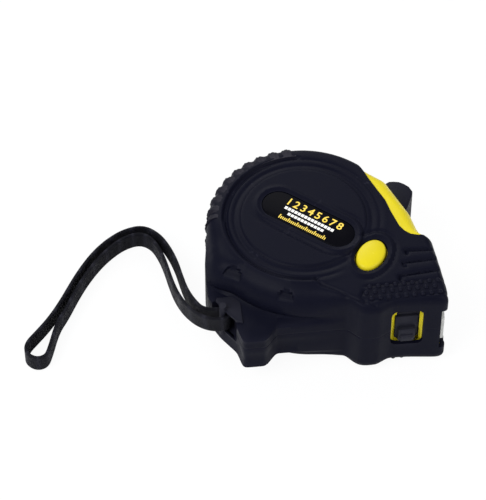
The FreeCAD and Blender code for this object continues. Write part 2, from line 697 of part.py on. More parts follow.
float_slots = [box("float_slot_%d" % index,
                   ("%s - hook_float - rivet_radius - 0.1" % x, "%s + rivet_radius + 0.1" % x),
                   ("-blade_low - 1", "-blade_low + 6"),
                   ("%s - rivet_radius - 0.1" % MID, "%s + rivet_radius + 0.1" % MID))
               for index, x in enumerate(RIVETS, start=1)]
subpart("end_hook", cut("hook", fuse("hook_blank", hook_leg, hook_plate), *(
    float_slots + magnets("magnet_hole", "magnet_radius", "%s - 1" % LEG_X, "%s + 3" % LEG_X))))
subpart("hook_magnets", group("magnet_pair", *magnets(
    "magnet", "magnet_radius", LEG_X, "%s + hook_wall + 0.1" % LEG_X)))
subpart("hook_bumper", box("bumper_pad", ("bumper_reach - 1", "bumper_reach"),
                           ("-blade_low - 7", "-blade_low - 2.5"), ("%s - 7" % MID, "%s + 7" % MID)))
subpart("mouth_guide", box("guide", ("window_x + lock_length / 2 + 1.3",
                                     "front_reach - rubber - wall - 1.9"),
                           ("-blade_low - 2.6", "-blade_low - 1.2"), (SHELL_FLOOR, SHELL_CEILING)))

# --- thumb lock ------------------------------------------------------------------------------


def on_slope(thing):
    """Seat a body drawn in slope lengths and heights on the slope."""
    return place(thing, "slope_top_x", "slope_top_y", 0, "slope_angle")


thumb_tab = on_slope(padded("thumb_tab", [
    ("-4.2", "fit"), ("-4.7", "4.4"), ("-2.8", "7.4"), ("0.6", "9.2"), ("3.2", "9.2"),
    ("5.6", "7.2"), ("10", "2.6"), ("10.6", "fit"),
], "%s - thumb_width / 2" % MID, "%s + thumb_width / 2" % MID))
INSIDE = "-rubber - wall - fit"
thumb_stem = box("thumb_stem", ("stem_start", "stem_start + stem_length"), (INSIDE, "fit + 0.5"),
                 ("%s - stem_width / 2" % MID, "%s + stem_width / 2" % MID),
                 ("slope_top_x", "slope_top_y", "0"), "slope_angle")
subpart("thumb_lock_slider", fuse("slider", thumb_tab, thumb_stem))
arm_plate = box("arm_plate", ("0.5", "9"), ("%s - 1" % INSIDE, INSIDE),
                ("%s - 5.5" % MID, "%s + 5.5" % MID), ("slope_top_x", "slope_top_y", "0"),
                "slope_angle")
arm_post = box("arm_post", ("arm_x", "arm_x + arm_width"), ("-arm_low", "slope_top_y - 9.5"),
               ("%s - 3" % MID, "%s + 3" % MID))
subpart("thumb_brake_arm", fuse("brake_arm", arm_plate, arm_post))
subpart("thumb_brake_pad", box("brake_pad", ("arm_x - 0.6", "arm_x + arm_width + 1"),
                               ("-arm_low - 1.4", "-arm_low"), ("%s - 5" % MID, "%s + 5" % MID)))
subpart("thumb_detent_spring", box("detent", ("0", "10"), ("%s - 1.6" % INSIDE, "%s - 1.3" % INSIDE),
                                   ("%s + 7" % MID, SHELL_CEILING),
                                   ("slope_top_x", "slope_top_y", "0"), "slope_angle"))

# --- bottom lock -----------------------------------------------------------------------------

LOCK_FLANGE = "-floor_depth + rubber + wall + fit"
LOCK_TOP = "-blade_low - lock_travel - 1.5"
lock_side = ("window_x - lock_length / 2", "window_x + lock_length / 2")
subpart("bottom_lock_button", fuse(
    "lock_button",
    box("lock_face", lock_side, ("-floor_depth", LOCK_FLANGE),
        ("%s - lock_width / 2" % MID, "%s + lock_width / 2" % MID)),
    box("lock_flange", ("window_x - lock_length / 2 - 1", "window_x + lock_length / 2 + 1"),
        (LOCK_FLANGE, "%s + 1.2" % LOCK_FLANGE),
        ("%s - lock_width / 2 - 1.2" % MID, "%s + lock_width / 2 + 1.2" % MID)),
    box("lock_stem", ("window_x - 1", "window_x + 2.5"), (LOCK_FLANGE, LOCK_TOP),
        ("%s - 4" % MID, "%s + 4" % MID))))
subpart("bottom_lock_pad", box("lock_pad", ("window_x - 1.2", "window_x + 2.7"),
                               (LOCK_TOP, "%s + 1" % LOCK_TOP), ("%s - 4.2" % MID, "%s + 4.2" % MID)))
RIB_TOP = "-floor_depth + rubber + wall + 2.7 + fit / 3"
subpart("bottom_lock_spring", padded("lock_leaf", [
    ("%s - 0.6" % LEAF_RIB_X, RIB_TOP),
    ("%s + 0.9" % LEAF_RIB_X, RIB_TOP),
    ("window_x - 2.2", "%s + 1.2" % LOCK_FLANGE),
    ("window_x - 2.2", "%s + 1.5" % LOCK_FLANGE),
    ("%s + 0.9" % LEAF_RIB_X, "%s + 0.3" % RIB_TOP),
    ("%s - 0.6" % LEAF_RIB_X, "%s + 0.3" % RIB_TOP),
], "%s - 2.5" % MID, "%s + 2.5" % MID))

# --- side button -----------------------------------------------------------------------------

BUTTON_FLANGE = "%s - fit" % SHELL_CEILING
subpart("side_button", fuse(
    "button", oval("button_cap", "0", (BUTTON_FLANGE, "button_top - 0.8")),
    oval("button_crown", "-1", ("button_top - 0.8", "button_top")),
    oval("button_flange", "0.9", ("%s - 1" % BUTTON_FLANGE, BUTTON_FLANGE))))
subpart("side_button_spring", fuse(
    "button_leaf",
    cylinder("leaf_foot", POST_X, POST_Y, "2", (POST_TOP, "%s + 0.3" % POST_TOP)),
    cylinder("leaf_pillar", POST_X, POST_Y, "0.8", (POST_TOP, "%s - 1" % BUTTON_FLANGE))))

# --- strap -----------------------------------------------------------------------------------

subpart("strap_pin", cylinder("pin", "pin_x", "pin_y", "pin_radius",
                              ("%s - strap_width / 2 - 4" % MID, "%s + strap_width / 2 + 4" % MID)))

STRAP_BEND = 0.45
PIN_LOOP = number("pin_radius + fit + strap_wall / 2")
PIN_SPOT = Vector(number("pin_x"), number("pin_y"), number(MID))

# middle lines of the two strands: they part at the pin and meet again just past the far fold
NEAR_STRAND = [
    PIN_SPOT + Vector(-2.0, PIN_LOOP, 0),
    Vector(-36.6, PIN_SPOT.y + PIN_LOOP, PIN_SPOT.z),
    Vector(-39.9, -19.4, 16.4),
    Vector(-41.8, -11.5, 13.0),
    Vector(-42.8, -2.4, 9.4),
    Vector(-43.7, 6.2, 6.4),
    Vector(-45.6, 14.4, 4.4),
    Vector(-48.6, 21.2, 3.6),
    Vector(-53.9, 25.4, 3.6),
    Vector(-60.8, 24.2, 3.6),
    Vector(-67.0, 20.3, 3.6),
    Vector(-72.3, 15.2, 3.6),
    Vector(-76.9, 8.9, 3.6),
    Vector(-80.8, 2.4, 3.6),
    Vector(-84.8, -5.0, 3.6),
    Vector(-89.4, -12.2, 3.6),
    Vector(-94.2, -17.9, 3.6),
    Vector(-98.0, -22.2, 3.6),
    Vector(-98.3, -26.4, 3.6),
    Vector(-95.3, -29.2, 3.6),
    Vector(-91.7, -28.6, 3.6),
    Vector(-90.1, -25.0, 3.6),
    Vector(-88.5, -19.6, 3.6),
]
FAR_STRAND = [
    PIN_SPOT + Vector(-2.0, PIN_LOOP, 0),
    PIN_SPOT + Vector(PIN_LOOP, PIN_LOOP, 0),
    PIN_SPOT + Vector(PIN_LOOP, -PIN_LOOP, 0),
    Vector(-34.4, PIN_SPOT.y - PIN_LOOP, PIN_SPOT.z),
    Vector(-39.2, -26.2, 17.0),
    Vector(-42.9, -19.6, 14.8),
    Vector(-45.2, -11.4, 11.8),
    Vector(-46.5, -2.4, 8.6),
    Vector(-47.4, 6.0, 6.0),
    Vector(-48.9, 13.8, 4.2),
    Vector(-51.2, 19.6, 3.6),
    Vector(-55.2, 22.4, 3.6),
    Vector(-60.4, 21.2, 3.6),
    Vector(-65.3, 17.9, 3.6),
    Vector(-70.3, 13.0, 3.6),
    Vector(-75.1, 6.6, 3.6),
    Vector(-79.5, -0.9, 3.6),
    Vector(-83.3, -8.6, 3.6),
    Vector(-87.0, -14.54, 3.6),
    Vector(-88.5, -19.6, 3.6),
]


def route_edges(points):
    """Join straight runs with tangent arcs as large as the runs allow, and return the radii."""
    edges = []
    radii = []
    start = points[0]
    for before, corner, after in zip(points, points[1:], points[2:]):
        inward = (corner - before).normalize()
        outward = (after - corner).normalize()
        turn = inward.getAngle(outward)
        reach = STRAP_BEND * min((corner - before).Length, (after - corner).Length)
        radius = reach / math.tan(turn / 2)
        first = corner - inward * reach
        last = corner + outward * reach
        middle = (first + last) / 2
        centre = corner + (middle - corner).normalize() * (radius / math.cos(turn / 2))
        crown = centre + (corner - centre).normalize() * radius
        edges.append(Part.LineSegment(start, first).toShape())
        edges.append(Part.Arc(first, crown, last).toShape())
        radii.append(round(radius, 1))
        start = last
    edges.append(Part.LineSegment(start, points[-1]).toShape())
    return edges, radii


def strand(label, points):
    """Sweep the strap's flat section, standing on its edge, along a route."""
    edges, radii = route_edges(points)
    path = Part.Wire(edges)
    along = (points[1] - points[0]).normalize()
    side = along.cross(Vector(0, 0, 1)).normalize() * (number("strap_wall") / 2)
    rise = Vector(0, 0, number("strap_width") / 2)
    corners = [points[0] + side + rise, points[0] - side + rise, points[0] - side - rise,
               points[0] + side - rise]
    section = Part.makePolygon(corners + corners[:1])
    shell = Part.BRepOffsetAPI.MakePipeShell(path)
    shell.setBiNormalMode(Vector(0, 0, 1))
    shell.add(section)
    shell.build()
    shell.makeSolid()
    thing = doc.addObject("Part::Feature", label + "_sweep")
    thing.Shape = shell.shape()
    print(label, "radii", radii, "length", round(path.Length, 1), "volume ratio",
          round(thing.Shape.Volume / (number("strap_width * strap_wall") * path.Length), 3))
    return subpart(label, thing)


strand("strap_near_strand", NEAR_STRAND)
strand("strap_far_strand", FAR_STRAND)

# --- write -----------------------------------------------------------------------------------

doc.recompute()
for thing in doc.Objects:
    if "Invalid" in thing.State or "Error" in thing.State:
        raise RuntimeError("%s did not compute" % thing.Name)
for label, thing in SUBPARTS.items():
    if thing.Shape.isNull() or not thing.Shape.isValid() or not thing.Shape.Solids:
        raise RuntimeError("%s has no valid solid" % label)
os.makedirs("parts", exist_ok=True)
for label, thing in SUBPARTS.items():
    thing.Shape.exportStep("parts/%s.step" % label)
    print(label, len(thing.Shape.Solids), round(thing.Shape.Volume, 2))
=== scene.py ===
import logging
import math
from dataclasses import dataclass
from enum import Enum
from typing import Sequence

import bpy
import numpy as np
from mathutils import Matrix, Vector


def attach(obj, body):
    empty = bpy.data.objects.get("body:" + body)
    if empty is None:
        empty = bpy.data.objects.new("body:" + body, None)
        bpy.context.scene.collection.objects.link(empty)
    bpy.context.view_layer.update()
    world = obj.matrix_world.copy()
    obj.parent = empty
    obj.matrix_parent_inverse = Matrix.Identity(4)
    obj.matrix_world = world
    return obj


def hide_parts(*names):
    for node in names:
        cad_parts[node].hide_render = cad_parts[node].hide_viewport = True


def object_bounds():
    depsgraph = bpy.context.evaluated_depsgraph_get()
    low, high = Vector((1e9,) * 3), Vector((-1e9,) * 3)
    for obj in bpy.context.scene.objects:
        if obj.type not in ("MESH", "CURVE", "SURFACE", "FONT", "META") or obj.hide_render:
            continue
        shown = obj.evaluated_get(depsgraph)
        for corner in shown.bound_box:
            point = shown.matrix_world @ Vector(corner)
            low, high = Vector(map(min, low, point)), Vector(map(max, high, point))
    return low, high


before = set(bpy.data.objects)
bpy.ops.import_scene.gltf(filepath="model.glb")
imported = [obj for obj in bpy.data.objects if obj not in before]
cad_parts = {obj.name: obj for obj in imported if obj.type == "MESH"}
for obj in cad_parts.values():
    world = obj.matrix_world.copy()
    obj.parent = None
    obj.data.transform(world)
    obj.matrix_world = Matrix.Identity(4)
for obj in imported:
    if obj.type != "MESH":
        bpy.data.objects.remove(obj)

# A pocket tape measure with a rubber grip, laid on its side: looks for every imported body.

LOG = logging.getLogger("tape_measure")
START_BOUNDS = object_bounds()

MM = 0.001
MID = 18.0
THICKNESS = 36.0
SLOPE_TOP = (31.0, 15.5)
SLOPE_ANGLE = -67.25
BADGE_SPOT = (1.5, -1.0)
BADGE_ANGLE = -38.8
BUTTON_SPOT = (20.9, -18.6)
BUTTON_ANGLE = 57.0
BUTTON_RADII = (6.7, 4.6)
COVER_SPOTS = ((-27.2, -21.4), (-10.4, -33.2))
COVER_TOP = 31.0
PRINT_BAND = (35.46, 35.53)
DRIVER_SPOT = (19.5, -34.5)

Colour = tuple[float, float, float]
Point2 = tuple[float, float]
Point3 = tuple[float, float, float]


class Body(Enum):
    """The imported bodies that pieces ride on."""

    CASE = "case"
    REEL = "reel"
    BLADE = "blade"
    HOOK = "hook"
    THUMB_LOCK = "thumb_lock"
    BOTTOM_LOCK = "bottom_lock"
    SIDE_BUTTON = "side_button"


class Slot(Enum):
    """The record's material slots."""

    YELLOW = "yellow_shell"
    RUBBER = "black_rubber"
    PLASTIC = "black_plastic"
    LABEL = "label"
    STEEL = "steel"
    BLADE = "blade_paint"
    HOOK = "hook_plate"
    STRAP = "strap"


class Half(Enum):
    """The two halves of the case, one above and one below its middle plane."""

    UPPER = "upper"
    LOWER = "lower"


# --- finishes --------------------------------------------------------------------------------


@dataclass(frozen=True)
class Finish:
    """A procedural finish: mottled colour, uneven gloss, fine grain and a painted highlight on
    convex edges.

    Attributes:
        name: The material's name.
        colour: Main colour, linear.
        shade: Second colour that the mottling drifts to, linear.
        worn: Painted highlight colour along convex edges, linear.
        mottle: Mottling scale, in cells per metre.
        grain: Grain scale, in cells per metre.
        gloss: Lowest and highest roughness.
        bump: Height of the grain in metres.
        metallic: How metallic it is, 0 to 1.
        coat: Weight of a clear coat.
        wear: How far convex edges drift to the painted highlight colour.
        shine: Strength of the surface reflection.
    """

    name: str
    colour: Colour
    shade: Colour
    worn: Colour
    mottle: float = 160.0
    grain: float = 2600.0
    gloss: tuple[float, float] = (0.4, 0.55)
    bump: float = 0.00003
    metallic: float = 0.0
    coat: float = 0.0
    wear: float = 0.35
    shine: float = 0.5

    def material(self) -> bpy.types.Material:
        """Build the node material once and hand the same one out afterwards.

        Returns:
            The material.
        """
        known = bpy.data.materials.get(self.name)
        if known:
            return known
        material = bpy.data.materials.new(self.name)
        material.use_nodes = True
        nodes, links = material.node_tree.nodes, material.node_tree.links
        shader = nodes["Principled BSDF"]
        shader.inputs["Metallic"].default_value = self.metallic
        shader.inputs["Coat Weight"].default_value = self.coat
        shader.inputs["Coat Roughness"].default_value = 0.12
        shader.inputs["Specular IOR Level"].default_value = self.shine
        place = nodes.new("ShaderNodeTexCoord")
        mottle = noise_node(material, place.outputs["Object"], self.mottle, 4.0)
        drift = nodes.new("ShaderNodeMix")
        drift.data_type = "RGBA"
        drift.inputs[6].default_value = (*self.colour, 1.0)
        drift.inputs[7].default_value = (*self.shade, 1.0)
        links.new(mottle.outputs["Fac"], drift.inputs[0])
        # Painted highlight: convex edges, found by pointiness, drift to a paler colour.
        edge = nodes.new("ShaderNodeNewGeometry")
        reach = range_node(material, edge.outputs["Pointiness"], (0.52, 0.60), (0.0, self.wear))
        wear = nodes.new("ShaderNodeMix")
        wear.data_type = "RGBA"
        wear.inputs[7].default_value = (*self.worn, 1.0)
        links.new(reach.outputs["Result"], wear.inputs[0])
        links.new(drift.outputs[2], wear.inputs[6])
        links.new(wear.outputs[2], shader.inputs["Base Color"])
        gloss = range_node(material, mottle.outputs["Fac"], (0.3, 0.7), self.gloss)
        links.new(gloss.outputs["Result"], shader.inputs["Roughness"])
        grain = noise_node(material, place.outputs["Object"], self.grain, 2.0)
        bump = nodes.new("ShaderNodeBump")
        bump.inputs["Distance"].default_value = self.bump
        bump.inputs["Strength"].default_value = 1.0
        links.new(grain.outputs["Fac"], bump.inputs["Height"])
        links.new(bump.outputs["Normal"], shader.inputs["Normal"])
        return material


def noise_node(material: bpy.types.Material, vector: bpy.types.NodeSocket, scale: float,
               detail: float) -> bpy.types.Node:
    """Add a noise texture that reads the given coordinates.

    Args:
        material: The material to add to.
        vector: Socket that gives the coordinates.
        scale: Cells per metre.
        detail: Octaves.

    Returns:
        The noise node.
    """
    node = material.node_tree.nodes.new("ShaderNodeTexNoise")
    node.inputs["Scale"].default_value = scale
    node.inputs["Detail"].default_value = detail
    material.node_tree.links.new(vector, node.inputs["Vector"])
    return node


def range_node(material: bpy.types.Material, value: bpy.types.NodeSocket, source: Point2,
               target: Point2) -> bpy.types.Node:
    """Add a clamped map-range node.

    Args:
        material: The material to add to.
        value: Socket to map.
        source: Range that comes in.
        target: Range that goes out.

    Returns:
        The map-range node.
    """
    node = material.node_tree.nodes.new("ShaderNodeMapRange")
    node.inputs["From Min"].default_value, node.inputs["From Max"].default_value = source
    node.inputs["To Min"].default_value, node.inputs["To Max"].default_value = target
    material.node_tree.links.new(value, node.inputs["Value"])
    return node


def math_node(material: bpy.types.Material, operation: str, first: bpy.types.NodeSocket,
              second: bpy.types.NodeSocket | float) -> bpy.types.NodeSocket:
    """Add a math node.

    Args:
        material: The material to add to.
        operation: The node's operation.
        first: First value's socket.
        second: Second value, a socket or a number.

    Returns:
        The result's socket.
    """
    node = material.node_tree.nodes.new("ShaderNodeMath")
    node.operation = operation
    material.node_tree.links.new(first, node.inputs[0])
    if isinstance(second, float):
        node.inputs[1].default_value = second
    else:
        material.node_tree.links.new(second, node.inputs[1])
    return node.outputs[0]


def overlay(material: bpy.types.Material, amount: bpy.types.NodeSocket, colour: Colour) -> None:
    """Paint a colour over the material's base colour where the amount is high.

    Args:
        material: The material to change.
        amount: Socket with the paint's amount, 0 to 1.
        colour: The paint's colour, linear.
    """
    links = material.node_tree.links
    base = material.node_tree.nodes["Principled BSDF"].inputs["Base Color"]
    paint = material.node_tree.nodes.new("ShaderNodeMix")
    paint.data_type = "RGBA"
    paint.inputs[7].default_value = (*colour, 1.0)
    links.new(base.links[0].from_socket, paint.inputs[6])
    links.new(amount, paint.inputs[0])
    links.new(paint.outputs[2], base)


# The third colour of each finish is a painted highlight along its convex edges.
RUBBER = Finish("soft rubber", (0.0030, 0.0033, 0.0080), (0.0044, 0.0047, 0.0105),
                (0.018, 0.018, 0.028), gloss=(0.36, 0.48), bump=0.00002, wear=0.4, shine=0.035)
TREAD = Finish("tread rubber", (0.0060, 0.0058, 0.0100), (0.0115, 0.0108, 0.0165),
               (0.040, 0.038, 0.048), grain=1400.0, gloss=(0.5, 0.68), bump=0.00006, wear=0.6,
               shine=0.06)
YELLOW = Finish("yellow moulding", (0.60, 0.50, 0.010), (0.52, 0.43, 0.012), (0.80, 0.70, 0.08),
                gloss=(0.30, 0.42), bump=0.00001, coat=0.02, shine=0.10)
PLASTIC = Finish("black moulding", (0.0058, 0.0060, 0.0115), (0.0085, 0.0088, 0.0150),
                 (0.026, 0.026, 0.034), gloss=(0.34, 0.46), bump=0.000015, shine=0.06)
BADGE = Finish("badge gloss", (0.0020, 0.0020, 0.0032), (0.003, 0.003, 0.0045),
               (0.012, 0.012, 0.016), gloss=(0.20, 0.28), bump=0.000002, shine=0.015)
PRINT_YELLOW = Finish("print yellow", (0.80, 0.56, 0.03), (0.74, 0.50, 0.03), (0.8, 0.6, 0.1))
PRINT_WHITE = Finish("print white", (0.78, 0.76, 0.70), (0.70, 0.68, 0.62), (0.8, 0.8, 0.8))
PRINT_BLACK = Finish("print black", (0.012, 0.012, 0.012), (0.02, 0.02, 0.02), (0.03, 0.03, 0.03))
STEEL = Finish("bright steel", (0.52, 0.51, 0.49), (0.44, 0.43, 0.41), (0.75, 0.74, 0.72),
               mottle=400.0, gloss=(0.22, 0.38), metallic=1.0, bump=0.000008)
HOOK_STEEL = Finish("plated hook", (0.36, 0.36, 0.34), (0.22, 0.22, 0.21), (0.6, 0.6, 0.57),
                    mottle=500.0, gloss=(0.30, 0.46), metallic=0.75, bump=0.00001)
MAGNET = Finish("magnet nickel", (0.30, 0.30, 0.31), (0.24, 0.24, 0.25), (0.5, 0.5, 0.5),
                gloss=(0.3, 0.45), metallic=1.0)
BLADE_PAINT = Finish("blade lacquer", (0.82, 0.60, 0.03), (0.78, 0.55, 0.03), (0.85, 0.7, 0.2),
                     gloss=(0.22, 0.32), bump=0.000004, coat=0.3, wear=0.2)
STRAP_CLOTH = Finish("strap webbing", (0.0055, 0.0056, 0.0095), (0.0095, 0.0095, 0.0150),
                     (0.034, 0.034, 0.046), grain=5200.0, gloss=(0.45, 0.62), bump=0.00005,
                     wear=0.5, shine=0.08)


def banded(finish: Finish, name: str, rate: float, depth: float) -> bpy.types.Material:
    """Make a copy of a finish with fine crossed ribs, as woven webbing has.

    Args:
        finish: The finish to start from.
        name: The new material's name.
        rate: Ribs along the texture's U and V.
        depth: Rib height in metres.

    Returns:
        The material.
    """
    material = finish.material().copy()
    material.name = name
    nodes, links = material.node_tree.nodes, material.node_tree.links
    place = nodes.new("ShaderNodeTexCoord")
    split = nodes.new("ShaderNodeSeparateXYZ")
    links.new(place.outputs["UV"], split.inputs[0])
    waves = [math_node(material, "SINE", math_node(material, "MULTIPLY", split.outputs[axis],
                                                   float(turns)), 0.0)
             for axis, turns in ((0, 2.0 * math.pi * 9), (1, rate))]
    bump = nodes.new("ShaderNodeBump")
    bump.inputs["Distance"].default_value = depth
    links.new(math_node(material, "MULTIPLY", waves[0], waves[1]), bump.inputs["Height"])
    shader = nodes["Principled BSDF"].inputs["Normal"]
    links.new(shader.links[0].from_socket, bump.inputs["Normal"])
    links.new(bump.outputs["Normal"], shader)
    return material


def graduated(finish: Finish, zero: float) -> bpy.types.Material:
    """Make a copy of a finish with millimetre lines along both edges of the blade.

    Args:
        finish: The blade's lacquer.
        zero: Where the scale starts, on X, in mm.

    Returns:
        The material.
    """
    material = finish.material().copy()
    material.name = "graduated blade"
    nodes, links = material.node_tree.nodes, material.node_tree.links
    place = nodes.new("ShaderNodeTexCoord")
    split = nodes.new("ShaderNodeSeparateXYZ")
    links.new(place.outputs["Object"], split.inputs[0])
    along = math_node(material, "SUBTRACT", split.outputs["X"], zero * MM)
    side = math_node(material, "ABSOLUTE",
                     math_node(material, "SUBTRACT", split.outputs["Z"], MID * MM), 0.0)
    marks = None
    for pitch, line, reach in ((1.0, 0.22, 7.4), (5.0, 0.26, 6.4), (10.0, 0.34, 4.6)):
        phase = math_node(material, "PINGPONG", along, pitch * MM / 2)
        on_line = math_node(material, "LESS_THAN", phase, line * MM / 2)
        mark = math_node(material, "MULTIPLY", on_line,
                         math_node(material, "GREATER_THAN", side, reach * MM))
        marks = mark if marks is None else math_node(material, "MAXIMUM", marks, mark)
    overlay(material, marks, (0.012, 0.012, 0.012))
    return material


# --- mesh tools ------------------------------------------------------------------------------


def activate(piece: bpy.types.Object) -> None:
    """Select one object alone and make it active.

    Args:
        piece: The object.
    """
    deselect()
    piece.select_set(True)
    bpy.context.view_layer.objects.active = piece


def deselect() -> None:
    """Leave nothing selected and nothing active."""
    for other in bpy.context.selected_objects:
        other.select_set(False)
    bpy.context.view_layer.objects.active = None


def heal(piece: bpy.types.Object, smooth_angle: float = 40.0) -> bpy.types.Object:
    """Merge doubled points, turn normals outward and shade by angle.

    Args:
        piece: The object.
        smooth_angle: Edges flatter than this are smooth, in degrees.

    Returns:
        The same object.
    """
    activate(piece)
    bpy.ops.object.mode_set(mode="EDIT")
    bpy.ops.mesh.select_all(action="SELECT")
    bpy.ops.mesh.remove_doubles(threshold=0.000001)
    bpy.ops.mesh.normals_make_consistent(inside=False)
    bpy.ops.object.mode_set(mode="OBJECT")
    bpy.ops.object.shade_smooth_by_angle(angle=math.radians(smooth_angle))
    return piece


def prism(name: str, outline: Sequence[Point2], low: float, high: float, bevel: float = 0.0,
          segments: int = 3) -> bpy.types.Object:
    """Extrude an outline along Z and round its edges.

    Args:
        name: The piece's name.
        outline: Corners on XY, in mm.
        low: Bottom height, in mm.
        high: Top height, in mm.
        bevel: Edge rounding, in mm.
        segments: Steps in each rounding.

    Returns:
        The new object.
    """
    deselect()
    bpy.ops.mesh.primitive_circle_add(vertices=len(outline), radius=1.0, fill_type="NGON")
    piece = bpy.context.object
    piece.name = name
    piece.data.name = name
    for vertex, (x, y) in zip(piece.data.vertices, outline):
        vertex.co = (x * MM, y * MM, low * MM)
    bpy.ops.object.mode_set(mode="EDIT")
    bpy.ops.mesh.select_all(action="SELECT")
    bpy.ops.mesh.extrude_region_move(
        TRANSFORM_OT_translate={"value": (0.0, 0.0, (high - low) * MM)})
    bpy.ops.object.mode_set(mode="OBJECT")
    if bevel:
        rounding = piece.modifiers.new("rounding", "BEVEL")
        rounding.width = bevel * MM
        rounding.segments = segments
        rounding.limit_method = "ANGLE"
        rounding.angle_limit = math.radians(35.0)
        rounding.use_clamp_overlap = True
        activate(piece)
        bpy.ops.object.modifier_apply(modifier=rounding.name)
    return heal(piece)


def loft(name: str, points: np.ndarray, smooth_angle: float = 40.0) -> bpy.types.Object:
    """Bend a primitive grid onto rows of points.

    Args:
        name: The piece's name.
        points: Rows by columns of XYZ, in mm; a closed surface repeats its seam and its poles.
        smooth_angle: Edges flatter than this are smooth, in degrees.

    Returns:
        The new object.
    """
    rows, columns = points.shape[:2]
    deselect()
    bpy.ops.mesh.primitive_grid_add(x_subdivisions=columns - 1, y_subdivisions=rows - 1, size=1.0)
    piece = bpy.context.object
    piece.name = name
    piece.data.name = name
    piece.data.vertices.foreach_set("co", (points * MM).astype(np.float32).ravel())
    piece.data.update()
    return heal(piece, smooth_angle)


def move_mesh(piece: bpy.types.Object, matrix: Matrix) -> bpy.types.Object:
    """Move a piece's mesh, leaving the object at the origin.

    Args:
        piece: The object.
        matrix: The move, with lengths in metres.

    Returns:
        The same object.
    """
    piece.data.transform(matrix)
    piece.data.update()
    return piece


def merged(name: str, pieces: Sequence[bpy.types.Object]) -> bpy.types.Object:
    """Join pieces into one object.

    Args:
        name: The joined piece's name.
        pieces: The objects.

    Returns:
        The joined object.
    """
    activate(pieces[0])
    for piece in pieces[1:]:
        piece.select_set(True)
    if len(pieces) > 1:
        bpy.ops.object.join()
    joined = bpy.context.view_layer.objects.active
    joined.name = name
    joined.data.name = name
    return joined


def carve(piece: bpy.types.Object, *cutters: bpy.types.Object) -> bpy.types.Object:
    """Cut tools out of a piece and discard the tools.

    Args:
        piece: The piece that is cut.
        cutters: Closed tools that don't touch each other.

    Returns:
        The cut piece.
    """
    tool = merged("cutter", list(cutters))
    cut = piece.modifiers.new("cut", "BOOLEAN")
    cut.operation = "DIFFERENCE"
    cut.solver = "EXACT"
    cut.object = tool
    activate(piece)
    bpy.ops.object.modifier_apply(modifier=cut.name)
    bpy.data.objects.remove(tool)
    bpy.ops.object.shade_smooth_by_angle(angle=math.radians(32.0))
    return piece


def rounded_box(name: str, x: Point2, y: Point2, z: Point2, bevel: float) -> bpy.types.Object:
    """Make a box with rounded edges.

    Args:
        name: The piece's name.
        x: Lowest and highest X, in mm.
        y: Lowest and highest Y, in mm.
        z: Lowest and highest Z, in mm.
        bevel: Edge rounding, in mm.

    Returns:
        The new object.
    """
    return prism(name, [(x[0], y[0]), (x[1], y[0]), (x[1], y[1]), (x[0], y[1])], z[0], z[1], bevel)


def ellipse(centre: Point2, radii: Point2, angle: float, steps: int) -> list[Point2]:
    """List points round an ellipse.

    Args:
        centre: Centre, in mm.
        radii: Half axes, in mm.
        angle: Turn of the first axis, in degrees.
        steps: Number of points.

    Returns:
        The points.
    """
    turn = math.radians(angle)
    points = []
    for index in range(steps):
        phase = 2.0 * math.pi * index / steps
        a, b = radii[0] * math.cos(phase), radii[1] * math.sin(phase)
        points.append((centre[0] + a * math.cos(turn) - b * math.sin(turn),
                       centre[1] + a * math.sin(turn) + b * math.cos(turn)))
    return points


def pill(length: float, width: float, angle: float, centre: Point2) -> list[Point2]:
    """List points round a pill.

    Args:
        length: Whole length, in mm.
        width: Width, in mm.
        angle: Turn, in degrees.
        centre: Centre, in mm.

    Returns:
        The points.
    """
    half, radius, turn = (length - width) / 2.0, width / 2.0, math.radians(angle)
    steps = 24
    points = []
    for side in (0, 1):
        for index in range(steps + 1):
            phase = math.pi * (index / steps - 0.5 + side)
            a = radius * math.cos(phase) + (half if side == 0 else -half)
            b = radius * math.sin(phase)
            points.append((centre[0] + a * math.cos(turn) - b * math.sin(turn),
                           centre[1] + a * math.sin(turn) + b * math.cos(turn)))
    return points


def finish_piece(piece: bpy.types.Object, material: bpy.types.Material, body: Body, slot: Slot,
                 *nodes: str) -> bpy.types.Object:
    """Give a piece its material and its body, and hide the CAD nodes it stands for.

    Args:
        piece: The piece.
        material: Its material.
        body: The body it rides on.
        slot: The record's slot; not used.
        nodes: CAD nodes that it replaces.

    Returns:
        The same piece.
    """
    piece.data.materials.clear()
    piece.data.materials.append(material)
    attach(piece, body.value)
    if nodes:
        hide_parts(*nodes)
    LOG.info("%s: %d faces on %s", piece.name, len(piece.data.polygons), body.value)
    return piece


def smoothstep(value: np.ndarray, low: float, high: float) -> np.ndarray:
    """Ease from 0 at low to 1 at high.

    Args:
        value: The values.
        low: Where it is 0.
        high: Where it is 1.

    Returns:
        The eased values.
    """
    part = np.clip((value - low) / (high - low), 0.0, 1.0)
    return part * part * (3.0 - 2.0 * part)


def ridge(distance: np.ndarray, width: float) -> np.ndarray:
    """Give a soft bump across a line.

    Args:
        distance: Distance from the line, in mm.
        width: Half width, in mm.

    Returns:
        Bump height, 0 to 1.
    """
    return np.exp(-((distance / width) ** 2))


def line_distance(x: np.ndarray, y: np.ndarray, route: Sequence[Point2]) -> np.ndarray:
    """Measure how far points are from a polyline.

    Args:
        x: Points' X, in mm.
        y: Points' Y, in mm.
        route: The polyline's corners, in mm.

    Returns:
        Distances, in mm.
    """
    best = np.full(x.shape, 1e9)
    for (ax, ay), (bx, by) in zip(route, route[1:]):
        dx, dy = bx - ax, by - ay
        part = np.clip(((x - ax) * dx + (y - ay) * dy) / (dx * dx + dy * dy), 0.0, 1.0)
        best = np.minimum(best, np.hypot(x - ax - part * dx, y - ay - part * dy))
    return best


